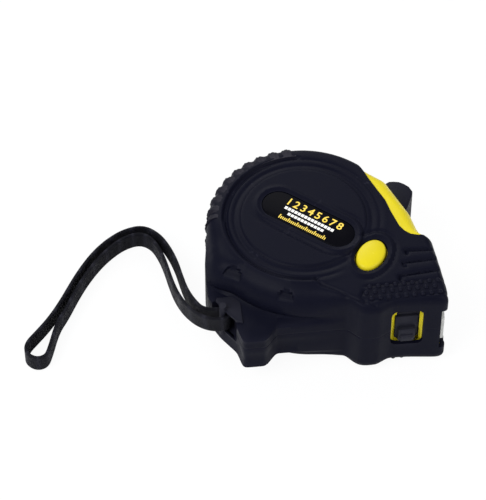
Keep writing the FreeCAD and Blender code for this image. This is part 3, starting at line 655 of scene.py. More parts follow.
def inside(x: np.ndarray, y: np.ndarray, corners: Sequence[Point2]) -> np.ndarray:
    """Tell which points lie inside a polygon.

    Args:
        x: Points' X, in mm.
        y: Points' Y, in mm.
        corners: The polygon, in mm.

    Returns:
        A mask.
    """
    mask = np.zeros(x.shape, dtype=bool)
    for (ax, ay), (bx, by) in zip(corners, list(corners[1:]) + [corners[0]]):
        crosses = (ay > y) != (by > y)
        mask ^= crosses & (x < (bx - ax) * (y - ay) / ((by - ay) or 1e-9) + ax)
    return mask


# --- case ------------------------------------------------------------------------------------

ZONE_EDGE: list[Point2] = [(20.4, 27.5), (21.5, 24.3), (22.9, 20.2), (24.5, 15.5), (26.8, 10.0),
                           (29.0, 5.0), (30.3, -0.5), (32.2, -6.8), (33.7, -9.2), (35.6, -10.8),
                           (37.9, -11.5), (40.5, -11.6), (50.0, -11.6)]
ZONE: list[Point2] = ZONE_EDGE + [(50.0, 40.0), (20.4, 40.0)]

# Creases (negative rise) and ribs of the grip: rise, half width and route, in mm.
MOULDED_LINES: tuple[tuple[float, float, list[Point2]], ...] = (
    (-0.55, 0.6, [(0.8, -26.5), (3.0, -29.6), (7.0, -32.0), (10.0, -34.4), (13.5, -36.9),
                  (16.0, -38.6)]),
    (-0.5, 0.55, [(16.5, -33.6), (15.3, -36.0), (16.6, -38.6), (19.6, -40.0)]),
    (-1.0, 0.48, [(33.0, -19.3), (32.9, -17.8), (41.4, -18.2)]),
    (-1.0, 0.48, [(31.6, -24.6), (31.3, -22.9), (42.0, -22.3)]),
    (-1.0, 0.48, [(29.2, -30.2), (29.4, -28.4), (42.3, -27.2)]),
    (0.16, 1.3, [(33.5, -20.4), (42.2, -20.4)]),
    (0.16, 1.3, [(32.0, -25.6), (42.6, -25.0)]),
)


@dataclass
class CaseOutline:
    """The case's outline as a radius for each direction from the reel's axis.

    Attributes:
        corners: Straight corners, in mm.
        round_radius: Radius of the round back, in mm.
        crown_radius: Radius of the rim above the rear foot, in mm.
        blur: Rounding of the corners, in degrees.
    """

    corners: tuple[Point2, ...] = (
        (-28.1, 16.25), (-33.0, 3.0), (-35.0, -10.0), (-35.0, -21.0), (-31.5, -28.0),
        (-26.5, -35.0), (-25.0, -41.47), (-16.5, -41.47), (-14.0, -36.6), (11.0, -36.6),
        (14.8, -40.9), (17.5, -41.47), (21.0, -41.47), (25.6, -39.0), (33.0, -39.1),
        (44.6, -40.2), (44.7, -34.0), (42.6, -12.0), (40.5, -11.5), (38.8, -6.3), (37.5, 0.0),
        (31.0, 15.5), (18.6, 26.6))
    round_radius: float = 32.5
    crown_radius: float = 34.6
    blur: float = 1.0

    def radii(self, angles: np.ndarray) -> np.ndarray:
        """Measure the outline in each direction.

        Args:
            angles: Directions in radians, evenly spaced over a full turn.

        Returns:
            Radii, in mm.
        """
        reach = np.full(angles.shape, self.round_radius)
        ux, uy = np.cos(angles), np.sin(angles)
        for (ax, ay), (bx, by) in zip(self.corners, self.corners[1:] + self.corners[:1]):
            ex, ey = bx - ax, by - ay
            across = ux * ey - uy * ex
            across = np.where(np.abs(across) < 1e-9, 1e-9, across)
            distance = (ax * ey - ay * ex) / across
            part = (ax * uy - ay * ux) / across
            hit = (part >= 0.0) & (part <= 1.0) & (distance > 0.0)
            reach = np.where(hit, np.maximum(reach, distance), reach)
        step = 360.0 / len(angles)
        span = max(1, int(round(3.0 * self.blur / step)))
        weights = np.exp(-0.5 * (np.arange(-span, span + 1) * step / self.blur) ** 2)
        weights /= weights.sum()
        padded = np.concatenate([reach[-span:], reach, reach[:span]])
        return np.convolve(padded, weights, mode="valid")

    def crown(self, angles: np.ndarray, base: np.ndarray) -> np.ndarray:
        """Draw the rim in over the rear foot and the floor's recess.

        Args:
            angles: Directions in radians.
            base: Outline radii, in mm.

        Returns:
            Rim radii, in mm.
        """
        turn = np.degrees(angles) % 360.0
        held = smoothstep(turn, 200.0, 222.0) * (1.0 - smoothstep(turn, 268.0, 288.0))
        limit = self.crown_radius + 1.0 * smoothstep(turn, 240.0, 270.0)
        return base - held * np.maximum(base - limit, 0.0)


@dataclass
class CaseHalf:
    """One half of the case, as rubber grip or as the yellow shell beneath it.

    Attributes:
        half: Upper or lower half.
        inset: How far the skin lies inside the outline, in mm.
        wall: Skin thickness, in mm.
        columns: Points round the outline.
        rubber: True for the grip, False for the yellow shell.
        outline: The outline shared by all the skins.
    """

    half: Half
    inset: float
    wall: float
    columns: int
    rubber: bool
    outline: CaseOutline

    def rings(self, base: np.ndarray, crown: np.ndarray,
              angles: np.ndarray) -> tuple[list[np.ndarray], list[np.ndarray], int]:
        """Work out radius and height of every ring from the middle of the face to the cavity.

        Args:
            base: Outline radii below the rim, in mm.
            crown: Rim radii, in mm.
            angles: Directions in radians.

        Returns:
            Radii and heights of each ring, and how many rings are on the outside.
        """
        turn = np.degrees(angles) % 360.0
        back = smoothstep(turn, 165.0, 200.0) * (1.0 - smoothstep(turn, 262.0, 292.0))
        zone = smoothstep(turn + 20.0, 0.0, 8.0) * (1.0 - smoothstep(turn, 50.0, 62.0))
        zone = np.maximum(zone, smoothstep(turn, 340.0, 348.0)) * (not self.rubber)
        wide = 3.2 + 4.3 * back + 1.4 * zone
        deep = 3.6 + (5.6 if self.half is Half.UPPER else 0.6) * back + 1.8 * zone
        face = THICKNESS - 1.0 - self.inset
        disc = face + (0.5 if self.half is Half.UPPER else 1.0) * self.rubber
        radii: list[np.ndarray] = []
        heights: list[np.ndarray] = []

        def ring(radius: np.ndarray | float, height: np.ndarray | float) -> None:
            radii.append(np.zeros(self.columns) + radius)
            heights.append(np.zeros(self.columns) + height)

        fine = 1.0 if self.rubber else 0.35
        for part in np.linspace(0.0, 1.0, int(40 * fine) + 2):
            ring(21.0 * part, disc)
        for part in (0.35, 0.7, 1.0):
            ring(21.0 + 0.9 * part, disc + (face - disc) * part * part)
        edge = crown - wide
        for part in np.linspace(0.0, 1.0, int(42 * fine) + 2)[1:]:
            ring(21.9 + (edge - 21.9) * part, face)
        for part in np.linspace(0.0, 1.0, 15)[1:]:
            phase = part * math.pi / 2.0
            ring(edge + wide * math.sin(phase), face - deep * (1.0 - math.cos(phase)))
        ledge = 24.4 if self.half is Half.UPPER else 31.2
        start = face - deep
        for part in (0.33, 0.66, 1.0):
            ring(crown, start + (np.minimum(start - 0.2, ledge) - start) * part)
        floor = np.minimum(start - 0.2, ledge)
        for part in (0.25, 0.5, 0.75, 1.0):
            ease = part * part * (3.0 - 2.0 * part)
            ring(crown + (base - crown) * ease, floor - 2.4 * part)
        low = MID + 0.04
        for part in (0.4, 0.75, 0.95):
            ring(base, floor - 2.4 + (low + 0.25 - floor + 2.4) * part)
        ring(base - 0.05, low + 0.12)
        ring(base - 0.2, low)
        outside = len(radii)
        ring(base - self.wall, low)
        ring(base - self.wall, floor - 3.6)
        ring(crown - self.wall, floor - 1.6)
        ring(crown - self.wall, start - 0.8)
        ring(edge + 0.45 * wide - self.wall * 0.7, face - self.wall - 0.3 * deep * 0.6)
        ring(edge - 0.8, face - self.wall)
        ring(12.0, face - self.wall)
        ring(0.0, face - self.wall)
        return radii, heights, outside

    def relief(self, x: np.ndarray, y: np.ndarray, z: np.ndarray) -> np.ndarray:
        """Give the height of the moulded detail on the outside.

        Args:
            x: Points' X, in mm.
            y: Points' Y, in mm.
            z: Points' Z, in mm.

        Returns:
            Heights along the normal, in mm.
        """
        radius = np.hypot(x, y)
        turn = np.degrees(np.arctan2(y, x)) % 360.0
        around = smoothstep(turn, 95.0, 128.0) * (1.0 - smoothstep(turn, 268.0, 280.0))
        around = 0.22 + 0.78 * around
        fade = 1.0 - smoothstep(turn, 284.0, 300.0) * (1.0 - smoothstep(turn, 335.0, 350.0))
        height = -0.85 * ridge(radius - 26.4, 0.55) * around * fade
        height += 0.40 * ridge(radius - 28.2, 0.95) * around * fade
        height -= 0.30 * ridge(radius - 23.6, 0.8)
        for rise, width, route in MOULDED_LINES:
            height += rise * ridge(line_distance(x, y, route), width)
        band = line_distance(x, y, [(17.5, -35.0), (42.8, -34.2)])
        height -= 0.30 * ridge(band - 3.1, 0.4) * smoothstep(x, 15.0, 18.0)
        held = smoothstep(turn, 202.0, 214.0) * (1.0 - smoothstep(turn, 262.0, 282.0))
        height -= 0.65 * ridge(z - 24.0, 0.75) * held
        height -= 0.8 * ridge(radius - 27.3, 0.55) * smoothstep(turn, 84.0, 90.0) * (
            1.0 - smoothstep(turn, 172.0, 182.0))
        if self.half is Half.LOWER:
            return height * (z > 19.0)
        axis = math.radians(BADGE_ANGLE)
        spine_half = 11.8
        spine = [(BADGE_SPOT[0] + end * math.cos(axis), BADGE_SPOT[1] + end * math.sin(axis))
                 for end in (-spine_half, spine_half)]
        from_spine = line_distance(x, y, spine)
        height += 0.46 * ridge(from_spine - 7.6, 0.75)
        height -= 0.42 * ridge(from_spine - 9.3, 0.6) * (1.0 - smoothstep(y, -6.0, 6.0))
        turn_button = math.radians(BUTTON_ANGLE)
        dx, dy = x - BUTTON_SPOT[0], y - BUTTON_SPOT[1]
        along = dx * math.cos(turn_button) + dy * math.sin(turn_button)
        aside = dy * math.cos(turn_button) - dx * math.sin(turn_button)
        oval = np.hypot(along / BUTTON_RADII[0], aside / BUTTON_RADII[1])
        height += 0.45 * ridge((oval - 1.38) * 6.0, 0.9)
        height -= 0.40 * ridge((oval - 1.68) * 6.0, 0.6) * smoothstep(x, 15.0, 22.0)
        for centre in COVER_SPOTS:
            gap = np.hypot(x - centre[0], y - centre[1])
            depth = np.clip((z - COVER_TOP) * 0.75, 0.0, 1.25)
            height -= depth * (1.0 - smoothstep(gap, 3.15, 3.55)) * (z > COVER_TOP)
        return height * (z > 19.0)

    def build(self) -> bpy.types.Object:
        """Loft the skin.

        Returns:
            The skin as one closed mesh.
        """
        angles = np.linspace(0.0, 2.0 * math.pi, self.columns, endpoint=False)
        base = self.outline.radii(angles)
        crown = self.outline.crown(angles, base)
        turn = (np.degrees(angles) + 180.0) % 360.0 - 180.0
        bulge = smoothstep(turn, -18.5, -16.5) * (1.0 - smoothstep(turn, 49.0, 51.0))
        inset = self.inset - (0.0 if self.rubber else (self.inset - 0.15) * bulge)
        base = base - inset
        crown = crown - inset
        radii, heights, outside = self.rings(base, crown, angles)
        r, z = np.array(radii), np.array(heights)
        x, y = r * np.cos(angles), r * np.sin(angles)
        points = np.stack([x, y, z], axis=-1)
        if self.rubber:
            along = np.gradient(points[:outside], axis=0)
            skin = points[:outside]
            wrapped = np.concatenate([skin[:, -1:], skin, skin[:, :1]], axis=1)
            around = (wrapped[:, 2:] - wrapped[:, :-2]) / 2.0
            normal = np.cross(along, around)
            length = np.linalg.norm(normal, axis=-1, keepdims=True)
            normal = np.where(length > 1e-9, normal / np.maximum(length, 1e-9), (0.0, 0.0, 1.0))
            normal *= np.where(normal[..., 2:3] < -0.2, -1.0, 1.0)
            lift = self.relief(x[:outside], y[:outside], z[:outside])
            points[:outside] += normal * lift[..., None]
        else:
            zone = inside(x, y, ZONE) | (line_distance(x, y, ZONE_EDGE) < 0.9)
            raised = zone & (np.arange(len(r))[:, None] < outside - 8)
            points[..., 2] += raised * (self.inset - 0.2) * smoothstep(z, 20.0, 31.0)
        if self.half is Half.LOWER:
            points[..., 2] = THICKNESS - points[..., 2]
        closed = np.concatenate([points, points[:, :1]], axis=1)
        kind = "grip" if self.rubber else "shell"
        return loft("%s_%s_skin" % (kind, self.half.value), closed, 38.0)


@dataclass
class Openings:
    """The openings that pass through the grip and the shell.

    Attributes:
        mouth: Lowest and highest Y of the blade's mouth, in mm.
        floor: Height of the floor, on Y, in mm.
        window: X range of the lock window, in mm.
        pin: Middle of the strap pin, in mm.
    """

    mouth: Point2 = (-30.0, -25.4)
    floor: float = -40.3
    window: Point2 = (26.4, 35.6)
    pin: Point2 = (-30.6, -27.6)

    def cutters(self, sides: float, ends: float, slot_room: float,
                trim: float = 0.0) -> list[bpy.types.Object]:
        """Make the cutters.

        Args:
            sides: Extra width of the window along X, in mm.
            ends: Extra width of the window along Z, in mm.
            slot_room: Extra room round the strap's slot, in mm.
            trim: Extra room behind the hook's notch, in mm.

        Returns:
            Closed tools that don't touch each other.
        """
        front = prism("front_cut", [(42.4 - trim, -44.0), (52.0, -44.0), (52.0, self.mouth[1]),
                                    (32.7, self.mouth[1]), (32.7, self.mouth[0]),
                                    (42.4 - trim, self.mouth[0])],
                      7.9 - 1.5 * trim, 28.1 + 1.5 * trim)
        window = rounded_box("window_cut", (self.window[0] - sides, self.window[1] + sides),
                             (-46.0, self.floor + 4.1), (11.6 - ends, 27.6 + ends), 2.4)
        slot = rounded_box("slot_cut", (-40.0, self.pin[0] + 3.1 + slot_room),
                           (self.pin[1] - 8.0, self.pin[1] + 3.4 + slot_room),
                           (13.9 - slot_room, 22.1 + slot_room), 0.6)
        return [front, window, slot]

    def pocket(self) -> bpy.types.Object:
        """Make the dark block that the strap's pin stands in, painted shade inside the strap's
        slot.

        Returns:
            The dark painted-shade block, open to the back.
        """
        block = prism("strap_slot_painted_shade", [(-32.2, -22.6), (-32.6, -24.0), (-30.4, -27.8),
                                       (-26.6, -33.0), (-24.4, -34.0), (-24.4, -22.6)],
                      12.5, 23.5, 0.2)
        hollow = rounded_box("hollow", (-40.0, -26.6), (-36.6, -23.2), (13.0, 23.0), 0.5)
        return carve(block, hollow)


@dataclass
class Tread:
    """The lumpy bumper round the back of the case.

    Attributes:
        span: Where it starts and ends, in degrees.
        radius: Radius under the lumps, in mm.
        reach: Largest radius of a lump, in mm.
        half_height: Half of its height, in mm.
        straight: Half of its straight part, in mm.
        rounding: Height of the turn onto the face, in mm.
        draw_in: Depth of the turn onto the face, in mm.
        lump: Pitch of the lumps along the arc and along Z, in mm.
    """

    span: Point2 = (88.5, 175.6)
    radius: float = 32.7
    reach: float = 33.95
    half_height: float = 17.5
    straight: float = 11.9
    rounding: float = 5.6
    draw_in: float = 4.7
    lump: Point2 = (5.2, 5.0)

    def profile(self) -> tuple[np.ndarray, np.ndarray]:
        """Draw the section from the lower face round the outside and back.

        Returns:
            Radius and height of each point, and where each outer point faces (zero inside).
        """
        outer: list[Point2] = []
        facing: list[Point2] = []
        for part in np.linspace(-1.0, 1.0, 58):
            rise = part * self.half_height
            fall = max(abs(rise) - self.straight, 0.0) / self.rounding
            drop = 1.0 - math.sqrt(max(1.0 - fall * fall, 0.0))
            outer.append((self.radius - self.draw_in * drop, MID + rise))
            tilt = math.copysign(math.asin(min(fall, 0.999)), part)
            facing.append((math.cos(tilt), math.sin(tilt)))
        inner = [(27.9, 34.0), (29.2, 32.4), (30.8, 29.0), (30.8, 7.0), (29.2, 3.6), (27.9, 2.0)]
        facing += [(0.0, 0.0)] * (len(inner) + 1)
        return np.array(outer + inner + outer[:1]), np.array(facing)

    def build(self) -> None:
        """Build the bumper."""
        start, end = math.radians(self.span[0]), math.radians(self.span[1])
        angles = np.linspace(start, end, 300)
        profile, facing = self.profile()
        r = np.repeat(profile[:, :1], len(angles), axis=1)
        z = np.repeat(profile[:, 1:], len(angles), axis=1)
        arc = np.broadcast_to(angles * 33.0, r.shape)
        skin = np.any(facing != 0.0, axis=1)[:, None]
        lane = np.floor((z - MID) / self.lump[1] + 0.5)
        shift = arc + (lane % 2) * self.lump[0] / 2.0 + 0.6 * np.sin(lane * 2.3)
        lump = (np.abs(np.cos(shift * math.pi / self.lump[0])) ** 0.6
                * np.abs(np.cos((z - MID) * math.pi / self.lump[1])) ** 0.4)
        fine = 0.5 + 0.5 * np.sin(arc * 3.9 + 1.7 * np.sin(z * 1.3)) * np.sin(z * 3.1)
        lift = skin * (1.75 * lump - 0.65 + 0.35 * (fine - 0.5) * lump)
        r = np.minimum(r + lift * facing[:, :1], self.reach)
        z = np.clip(z + lift * 0.6 * facing[:, 1:], 0.15, 36.4)
        x, y = r * np.cos(angles), r * np.sin(angles)
        tail = smoothstep(np.broadcast_to(angles, r.shape), end - 0.25, end)
        y = y + tail * 0.09 * (z - MID) * 0.6
        points = np.stack([x, y, z], axis=-1)
        first, last = (np.broadcast_to(points[:, index].mean(axis=0), points[:, :1].shape)
                       for index in (0, -1))
        tread = loft("tread_bumper_skin", np.concatenate([first, points, last], axis=1), 50.0)
        finish_piece(tread, TREAD.material(), Body.CASE, Slot.RUBBER, "tread_bumper")


@dataclass
class Case:
    """The fixed case: grips, shells, tread, covers, badge and hardware.

    Attributes:
        outline: The shared outline.
        openings: The shared openings.
        tread: The bumper.
    """

    outline: CaseOutline
    openings: Openings
    tread: Tread

    def build_grips(self) -> None:
        """Build both rubber grips with their openings and the cut for the yellow slope."""
        for half in Half:
            skin = CaseHalf(half, 0.0, 1.75, 600, True, self.outline).build()
            zone = prism("zone_cut", ZONE, -5.0, 41.0)
            cutters = self.openings.cutters(0.9, 1.0, 0.9) + [zone]
            if half is Half.UPPER:
                oval = ellipse(BUTTON_SPOT, (7.35, 5.25), BUTTON_ANGLE, 72)
                cutters.append(prism("button_cut", oval, 30.0, 40.0))
                recess = pill(35.6, 12.0, BADGE_ANGLE, BADGE_SPOT)
                cutters.append(prism("badge_cut", recess, 34.9, 40.0))
            else:
                driver = ellipse(DRIVER_SPOT, (2.8, 2.8), 0.0, 40)
                cutters.append(prism("driver_cut", driver, -5.0, 12.0))
            carve(skin, *cutters)
            finish_piece(skin, RUBBER.material(), Body.CASE, Slot.RUBBER, "grip_" + half.value)

    def build_shells(self) -> None:
        """Build both yellow shells, which show on the slope and in the window."""
        for half in Half:
            skin = CaseHalf(half, 1.82, 1.6, 360, False, self.outline).build()
            slot = prism("thumb_slot", [(2.5, -8.0), (13.4, -8.0), (13.4, 6.0), (2.5, 6.0)],
                         MID - 2.4, MID + 2.4)
            move_mesh(slot, SLOPE)
            cutters = self.openings.cutters(0.45, 3.0, 3.2, 1.0) + [slot]
            if half is Half.UPPER:
                oval = ellipse(BUTTON_SPOT, (7.2, 5.1), BUTTON_ANGLE, 60)
                cutters.append(prism("button_cut", oval, 26.0, 40.0))
            carve(skin, *cutters)
            finish_piece(skin, YELLOW.material(), Body.CASE, Slot.YELLOW,
                         "case_shell_" + half.value)

    def build_pocket(self) -> None:
        """Line the strap's slot with a dark block as painted shade."""
        finish_piece(self.openings.pocket(), PLASTIC.material(), Body.CASE, Slot.PLASTIC)

    def build_covers(self) -> None:
        """Build the two flat covers over the upper screws, cut off at the grip's wall."""
        covers = []
        for index, spot in enumerate(COVER_SPOTS):
            rim: list[Point2] = []
            for corner_x, corner_y in ellipse(spot, (3.05, 3.05), 0.0, 64):
                pull = min(1.0, 33.0 / math.hypot(corner_x, corner_y))
                rim.append((corner_x * pull, corner_y * pull))
            covers.append(prism("cover_%d" % index, rim, COVER_TOP - 3.0, COVER_TOP - 0.1, 0.12))
        finish_piece(merged("screw_cover_caps", covers), RUBBER.material(), Body.CASE,
                     Slot.RUBBER, "screw_covers")

    def build_dots(self) -> None:
        """Build the raised dots of the finger grip on both faces of the nose."""
        pitch, last = 2.9, 43.0
        for half in Half:
            dots = []
            for y, first in ((-32.3, 18.6), (-34.7, 17.15), (-37.1, 18.6)):
                for index in range(int((last - first) / pitch) + 1):
                    x = first + pitch * index
                    rise = 0.022 * (x - 17.0)
                    deselect()
                    bpy.ops.mesh.primitive_uv_sphere_add(segments=14, ring_count=8, radius=1.0)
                    dot = bpy.context.object
                    squashed = Matrix.Diagonal((0.92 * MM, 0.92 * MM, 0.72 * MM, 1.0))
                    level = 35.0 if half is Half.UPPER else 1.0
                    drop = 0.35 * max(-36.9 - y, 0.0)
                    level += -drop if half is Half.UPPER else drop
                    spot = Matrix.Translation((x * MM, (y + rise) * MM, level * MM))
                    dots.append(move_mesh(dot, spot @ squashed))
            grip = merged("finger_dots_" + half.value, dots)
            activate(grip)
            bpy.ops.object.shade_smooth()
            finish_piece(grip, RUBBER.material(), Body.CASE, Slot.RUBBER)

    def build_badge(self) -> None:
        """Build the glossy badge with plain numbers, dashes and ticks printed on it."""
        plate = prism("badge_plate", pill(35.2, 11.6, BADGE_ANGLE, BADGE_SPOT), 34.3, 35.5, 0.35)
        finish_piece(plate, BADGE.material(), Body.CASE, Slot.LABEL, "label_plate")
        turn = (Matrix.Translation((BADGE_SPOT[0] * MM, BADGE_SPOT[1] * MM, 0.0))
                @ Matrix.Rotation(math.radians(BADGE_ANGLE), 4, "Z"))
        yellow: list[bpy.types.Object] = []
        white: list[bpy.types.Object] = []
        for index in range(8):
            yellow.append(number_piece(str(index + 1), 4.3, (-10.4 + 2.9 * index, 1.6, 35.49)))
        for count, first, low, high in ((15, -9.4, -0.5, 0.7), (11, -7.0, -2.4, -1.3)):
            for index in range(count):
                left = first + 1.32 * index
                white.append(rounded_box("dash", (left, left + 1.05), (low, high), PRINT_BAND, 0.0))
        for index in range(27):
            left, tall = 0.7 * index - 9.0, 1.7 if index % 5 == 0 else 1.1
            yellow.append(rounded_box("tick", (left, left + 0.38), (-5.0, -5.0 + tall), PRINT_BAND,
                                      0.0))
        for name, parts, finish in (("badge_print_yellow", yellow, PRINT_YELLOW),
                                    ("badge_print_white", white, PRINT_WHITE)):
            piece = move_mesh(merged(name, parts), turn)
            finish_piece(piece, finish.material(), Body.CASE, Slot.LABEL)

    def build_screws(self) -> None:
        """Build the four case screws, each with a slotted head."""
        screws = []
        for index, (x, y, seat, sign) in enumerate(((-27.0, -21.5, 20.4, 1.0),
                                                    (-10.5, -32.5, 20.4, 1.0),
                                                    (*DRIVER_SPOT, 9.0, -1.0),
                                                    (24.5, 17.8, 9.0, -1.0))):
            head = prism("head", ellipse((x, y), (2.2, 2.2), 0.0, 28), seat, seat + 1.3 * sign, 0.3)
            slot = rounded_box("slot", (x - 1.4, x + 1.4), (y - 0.3, y + 0.3),
                               (min(seat + 0.6 * sign, seat + 2.0 * sign),
                                max(seat + 0.6 * sign, seat + 2.0 * sign)), 0.0)
            shank = prism("shank", ellipse((x, y), (1.2, 1.2), 0.0, 20), seat - 13.0 * sign, seat)
            screws.append(merged("screw_%d" % index, [carve(head, slot), shank]))
        finish_piece(merged("case_screw_set", screws), STEEL.material(), Body.CASE, Slot.STEEL,
                     "case_screws")

    def dress_hardware(self) -> None:
        """Give the hidden hardware that keeps its CAD shape a fitting finish."""
        for name, finish in (("centre_screw", STEEL), ("centre_post", PLASTIC),
                             ("hook_bumper", RUBBER), ("mouth_guide", PLASTIC),
                             ("thumb_detent_spring", STEEL),
                             ("bottom_lock_spring", STEEL), ("side_button_spring", STEEL),
                             ("strap_pin", PLASTIC)):
            dress(name, finish.material())

    def build(self) -> None:
        """Build the whole case."""
        self.build_grips()
        self.build_shells()
        self.build_pocket()
        self.tread.build()
        self.build_screws()
        self.build_covers()
        self.build_dots()
        self.build_badge()
        self.dress_hardware()


def number_piece(text: str, size: float, spot: Point3) -> bpy.types.Object:
    """Make a plain number as a thin mesh facing +Z.

    Args:
        text: The number.
        size: Letter size, in mm.
        spot: Lower left corner, in mm.

    Returns:
        The mesh object.
    """
    deselect()
    bpy.ops.object.text_add()
    words = bpy.context.object
    words.data.body = text
    words.data.size = size * MM
    words.data.extrude = 0.03 * MM
    words.data.offset = 0.012 * size * MM
    words.data.resolution_u = 3
    bpy.ops.object.convert(target="MESH")
    piece = bpy.context.object
    return move_mesh(piece, Matrix.Translation(Vector(spot) * MM))


def dress(name: str, material: bpy.types.Material) -> None:
    """Give a CAD node a new material.

    Args:
        name: The node.
        material: The material.
    """
    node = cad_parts[name]
    for place in node.material_slots:
        place.material = material
    if not node.material_slots:
        node.data.materials.append(material)


SLOPE = (Matrix.Translation((SLOPE_TOP[0] * MM, SLOPE_TOP[1] * MM, 0.0))
         @ Matrix.Rotation(math.radians(SLOPE_ANGLE), 4, "Z"))


# --- moving parts ----------------------------------------------------------------------------


@dataclass
class Controls:
    """The three controls that a hand works: thumb lock, floor lock and side button.

    Attributes:
        thumb_width: Width of the thumb tab, in mm.
        button_top: Height of the side button, in mm.
    """

    thumb_width: float = 15.0
    button_top: float = 36.55

    def build_thumb(self) -> None:
        """Build the ridged thumb tab and its stem."""
        low, high = MID - self.thumb_width / 2.0, MID + self.thumb_width / 2.0
        profile = [(-4.2, 0.3), (10.5, 0.3), (10.1, 2.3), (8.0, 4.6), (5.8, 6.9), (4.6, 8.2),
                   (3.2, 9.1), (0.8, 9.15), (-1.2, 8.3), (-2.8, 7.2), (-3.9, 5.6), (-4.6, 4.1)]
        tab = prism("thumb_tab", profile, low, high, 0.75, 4)
        grooves = []
        for index, (s, n) in enumerate(((5.3, 7.5), (6.4, 6.3), (7.5, 5.15), (8.6, 4.0))):
            grooves.append(prism("tab_groove_%d" % index, ellipse((s, n), (0.36, 0.36), 0.0, 12),
                                 low + 1.6, high - 1.6))
        carve(tab, *grooves)
        stem = prism("thumb_stem", [(3.0, -3.9), (7.0, -3.9), (7.0, 0.8), (3.0, 0.8)], MID - 2.0,
                     MID + 2.0, 0.2)
        lever = merged("thumb_lever", [tab, stem])
        move_mesh(lever, SLOPE)
        finish_piece(lever, PLASTIC.material(), Body.THUMB_LOCK, Slot.PLASTIC, "thumb_lock_slider")
        dress("thumb_brake_arm", PLASTIC.material())
        dress("thumb_brake_pad", RUBBER.material())

    def build_floor_lock(self) -> None:
        """Build the stepped floor lock button."""
        boxes = [rounded_box("lock_box", *box) for box in (
            ((27.05, 34.95), (-37.4, -36.2), (12.35, 23.65), 0.3),
            ((28.0, 34.0), (-39.2, -37.0), (12.5, 18.4), 0.5),
            ((28.7, 33.3), (-39.9, -38.6), (12.9, 16.0), 0.5),
            ((26.1, 35.9), (-36.4, -35.25), (11.15, 24.85), 0.2),
            ((30.0, 33.5), (-35.4, -32.3), (14.0, 22.0), 0.2))]
        button = merged("floor_lock_button", boxes)
        finish_piece(button, PLASTIC.material(), Body.BOTTOM_LOCK, Slot.PLASTIC,
                     "bottom_lock_button")
        dress("bottom_lock_pad", RUBBER.material())

    def build_side_button(self) -> None:
        """Build the domed yellow side button."""
        columns = 96
        phase = np.linspace(0.0, 2.0 * math.pi, columns + 1)
        rings: list[Point2] = [(part, self.button_top - 1.0 * part ** 2.6)
                               for part in np.linspace(0.0, 0.9, 16)]
        rings += [(0.95, self.button_top - 1.02), (0.985, self.button_top - 1.4),
                  (1.0, self.button_top - 2.0), (1.0, 31.2), (1.12, 31.05), (1.12, 30.15),
                  (0.0, 30.15)]
        share = np.array([ring[0] for ring in rings])[:, None]
        z = np.array([ring[1] for ring in rings])[:, None] + 0.0 * phase
        a = BUTTON_RADII[0] * share * np.cos(phase)
        b = BUTTON_RADII[1] * share * np.sin(phase)
        turn = math.radians(BUTTON_ANGLE)
        x = BUTTON_SPOT[0] + a * math.cos(turn) - b * math.sin(turn)
        y = BUTTON_SPOT[1] + a * math.sin(turn) + b * math.cos(turn)
        button = loft("side_button_cap", np.stack([x, y, z], axis=-1), 50.0)
        finish_piece(button, YELLOW.material(), Body.SIDE_BUTTON, Slot.YELLOW, "side_button")

    def build(self) -> None:
        """Build all three controls."""
        self.build_thumb()
        self.build_floor_lock()
        self.build_side_button()


@dataclass
class BladeAndReel:
    """The printed blade, its hook and the reel behind it.

    Attributes:
        low: Height of the blade's lowest line, on Y, in mm.
        curve: Radius of its hollow, in mm.
        leaf: Its thickness, in mm.
        chord: Its width, in mm.
        span: Its first and last X, in mm.
    """

    low: float = -28.8
    curve: float = 20.8
    leaf: float = 0.3
    chord: float = 18.6
    span: Point2 = (-1.0, 42.3)

    def build_blade(self) -> None:
        """Build the hollow blade with its printed scale."""
        half = math.asin(self.chord / 2.0 / self.curve)
        turns = np.linspace(-half, half, 25)
        outer = [(self.curve, turn) for turn in turns]
        inner = [(self.curve - self.leaf, turn) for turn in turns[::-1]]
        section = outer + inner + outer[:1]
        z = np.array([MID + radius * math.sin(turn) for radius, turn in section])
        y = np.array([self.low + self.curve - radius * math.cos(turn) for radius, turn in section])
        x = np.linspace(self.span[0], self.span[1], 48)
        points = np.empty((len(section), len(x), 3))
        points[..., 0], points[..., 1], points[..., 2] = x, y[:, None], z[:, None]
        ends = [np.broadcast_to(points[:, index].mean(axis=0), points[:, :1].shape)
                for index in (0, -1)]
        blade = loft("printed_blade", np.concatenate([ends[0], points, ends[1]], axis=1), 30.0)
        finish_piece(blade, graduated(BLADE_PAINT, 42.6), Body.BLADE, Slot.BLADE, "blade_strip")
        facing = Matrix(((1.0, 0.0, 0.0, 0.0), (0.0, 0.0, 1.0, 0.0), (0.0, -1.0, 0.0, 0.0),
                         (0.0, 0.0, 0.0, 1.0)))
        numbers = []
        for index in (1, 2, 3, 4):
            number = number_piece(str(index), 4.2, (0.0, 0.0, 0.0))
            spot = Matrix.Translation(((42.6 - 10.0 * index - 1.1) * MM,
                                       (self.low + self.leaf + 0.05) * MM, (MID + 1.5) * MM))
            numbers.append(move_mesh(number, spot @ facing))
        finish_piece(merged("blade_numbers", numbers), PRINT_BLACK.material(), Body.BLADE,
                     Slot.BLADE)

    def dress_rest(self) -> None:
        """Give the hook, the rivets and the reel's parts their finishes."""
        for name, finish in (("hook_rivets", STEEL), ("end_hook", HOOK_STEEL),
                             ("hook_magnets", MAGNET), ("reel_drum", PLASTIC),
                             ("reel_flange", PLASTIC), ("blade_coil", BLADE_PAINT),
                             ("power_spring", STEEL)):
            dress(name, finish.material())

    def build(self) -> None:
        """Build the blade and dress the rest."""
        self.build_blade()
        self.dress_rest()


# --- strap -----------------------------------------------------------------------------------


